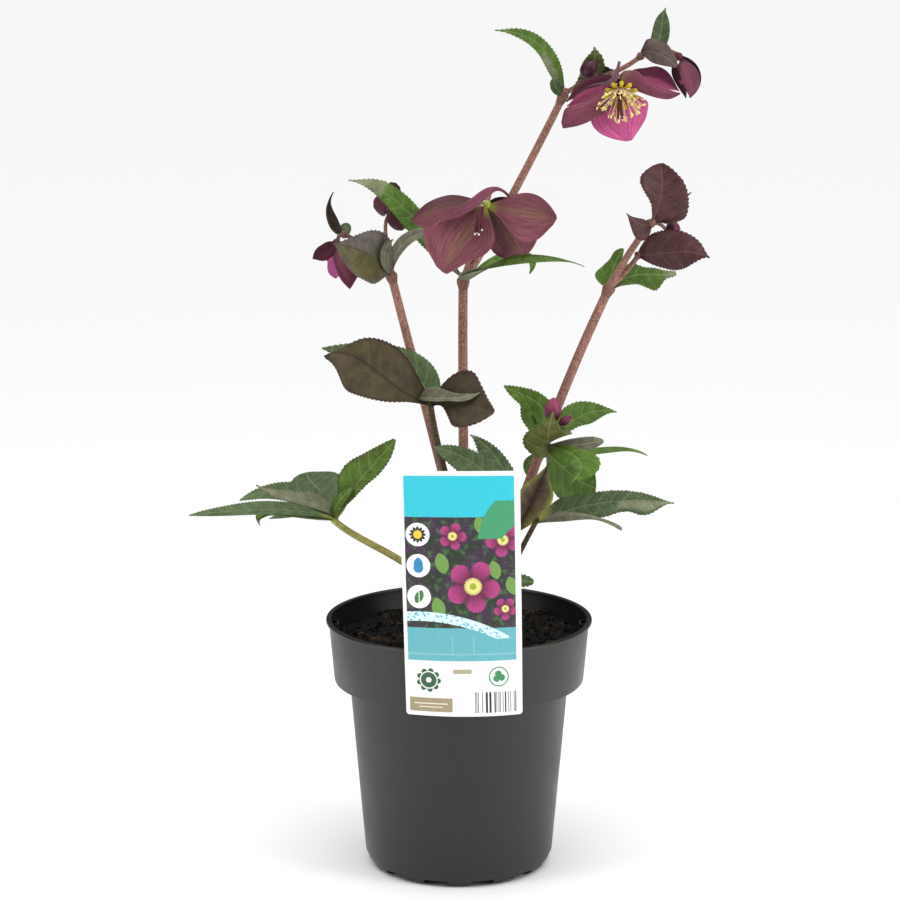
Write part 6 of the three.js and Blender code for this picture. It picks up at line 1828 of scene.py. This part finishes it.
class HELLEBORE_OT_soil(bpy.types.Operator):
    """Build the peat with its crumbs and fibres"""

    bl_idname = "hellebore.soil"
    bl_label = "Soil"

    def execute(self, context):
        build_soil(context.scene.hellebore)
        return {"FINISHED"}


class HELLEBORE_OT_label(bpy.types.Operator):
    """Build the printed card label"""

    bl_idname = "hellebore.label"
    bl_label = "Label"

    def execute(self, context):
        build_label(context.scene.hellebore)
        return {"FINISHED"}


class HELLEBORE_OT_stems(bpy.types.Operator):
    """Build the three flowering stems"""

    bl_idname = "hellebore.stems"
    bl_label = "Stems"

    def execute(self, context):
        build_stems(context.scene.hellebore)
        return {"FINISHED"}


class HELLEBORE_OT_leaves(bpy.types.Operator):
    """Build the leaves that grow from the root"""

    bl_idname = "hellebore.leaves"
    bl_label = "Leaves"

    def execute(self, context):
        build_leaves(context.scene.hellebore)
        return {"FINISHED"}


class HELLEBORE_OT_bracts(bpy.types.Operator):
    """Build the leaves on the flowering stems"""

    bl_idname = "hellebore.bracts"
    bl_label = "Bracts"

    def execute(self, context):
        build_bracts(context.scene.hellebore)
        return {"FINISHED"}


class HELLEBORE_OT_sepals(bpy.types.Operator):
    """Build the sepals of the five flowers"""

    bl_idname = "hellebore.sepals"
    bl_label = "Sepals"

    def execute(self, context):
        build_sepals(context.scene.hellebore)
        return {"FINISHED"}


class HELLEBORE_OT_hearts(bpy.types.Operator):
    """Build the stamens, nectaries, styles and carpels"""

    bl_idname = "hellebore.hearts"
    bl_label = "Flower hearts"

    def execute(self, context):
        build_hearts(context.scene.hellebore)
        return {"FINISHED"}


class HELLEBORE_OT_buds(bpy.types.Operator):
    """Build the closed buds"""

    bl_idname = "hellebore.buds"
    bl_label = "Buds"

    def execute(self, context):
        build_buds(context.scene.hellebore)
        return {"FINISHED"}


class HELLEBORE_OT_stage(bpy.types.Operator):
    """Set the floor, the light and the camera"""

    bl_idname = "hellebore.stage"
    bl_label = "Stage"

    def execute(self, context):
        build_stage(context.scene.hellebore)
        return {"FINISHED"}


OPERATORS = (
    HELLEBORE_OT_stage,
    HELLEBORE_OT_pot,
    HELLEBORE_OT_soil,
    HELLEBORE_OT_label,
    HELLEBORE_OT_stems,
    HELLEBORE_OT_leaves,
    HELLEBORE_OT_bracts,
    HELLEBORE_OT_sepals,
    HELLEBORE_OT_hearts,
    HELLEBORE_OT_buds,
)


class HELLEBORE_PT_panel(bpy.types.Panel):
    """The hellebore's settings and operators in the 3D view's sidebar"""

    bl_label = "Potted hellebore"
    bl_space_type = "VIEW_3D"
    bl_region_type = "UI"
    bl_category = "Hellebore"

    def draw(self, context):
        settings = context.scene.hellebore
        for group in (settings.sizes, settings.colours, settings.light):
            box = self.layout.box()
            for name in group.__annotations__:
                box.prop(group, name)
        for operator in OPERATORS:
            self.layout.operator(operator.bl_idname)


CLASSES = (
    HelleboreSizes, HelleboreColours, HelleboreLight, HelleboreSettings, *OPERATORS, HELLEBORE_PT_panel,
)


def register():
    for item in CLASSES:
        bpy.utils.register_class(item)
    bpy.types.Scene.hellebore = bpy.props.PointerProperty(type=HelleboreSettings)


def unregister():
    del bpy.types.Scene.hellebore
    for item in reversed(CLASSES):
        bpy.utils.unregister_class(item)


def main():
    """Builds every piece in turn."""
    register()
    for operator in OPERATORS:
        getattr(bpy.ops.hellebore, operator.bl_idname.split(".")[1])()


if __name__ == "__main__":
    main()
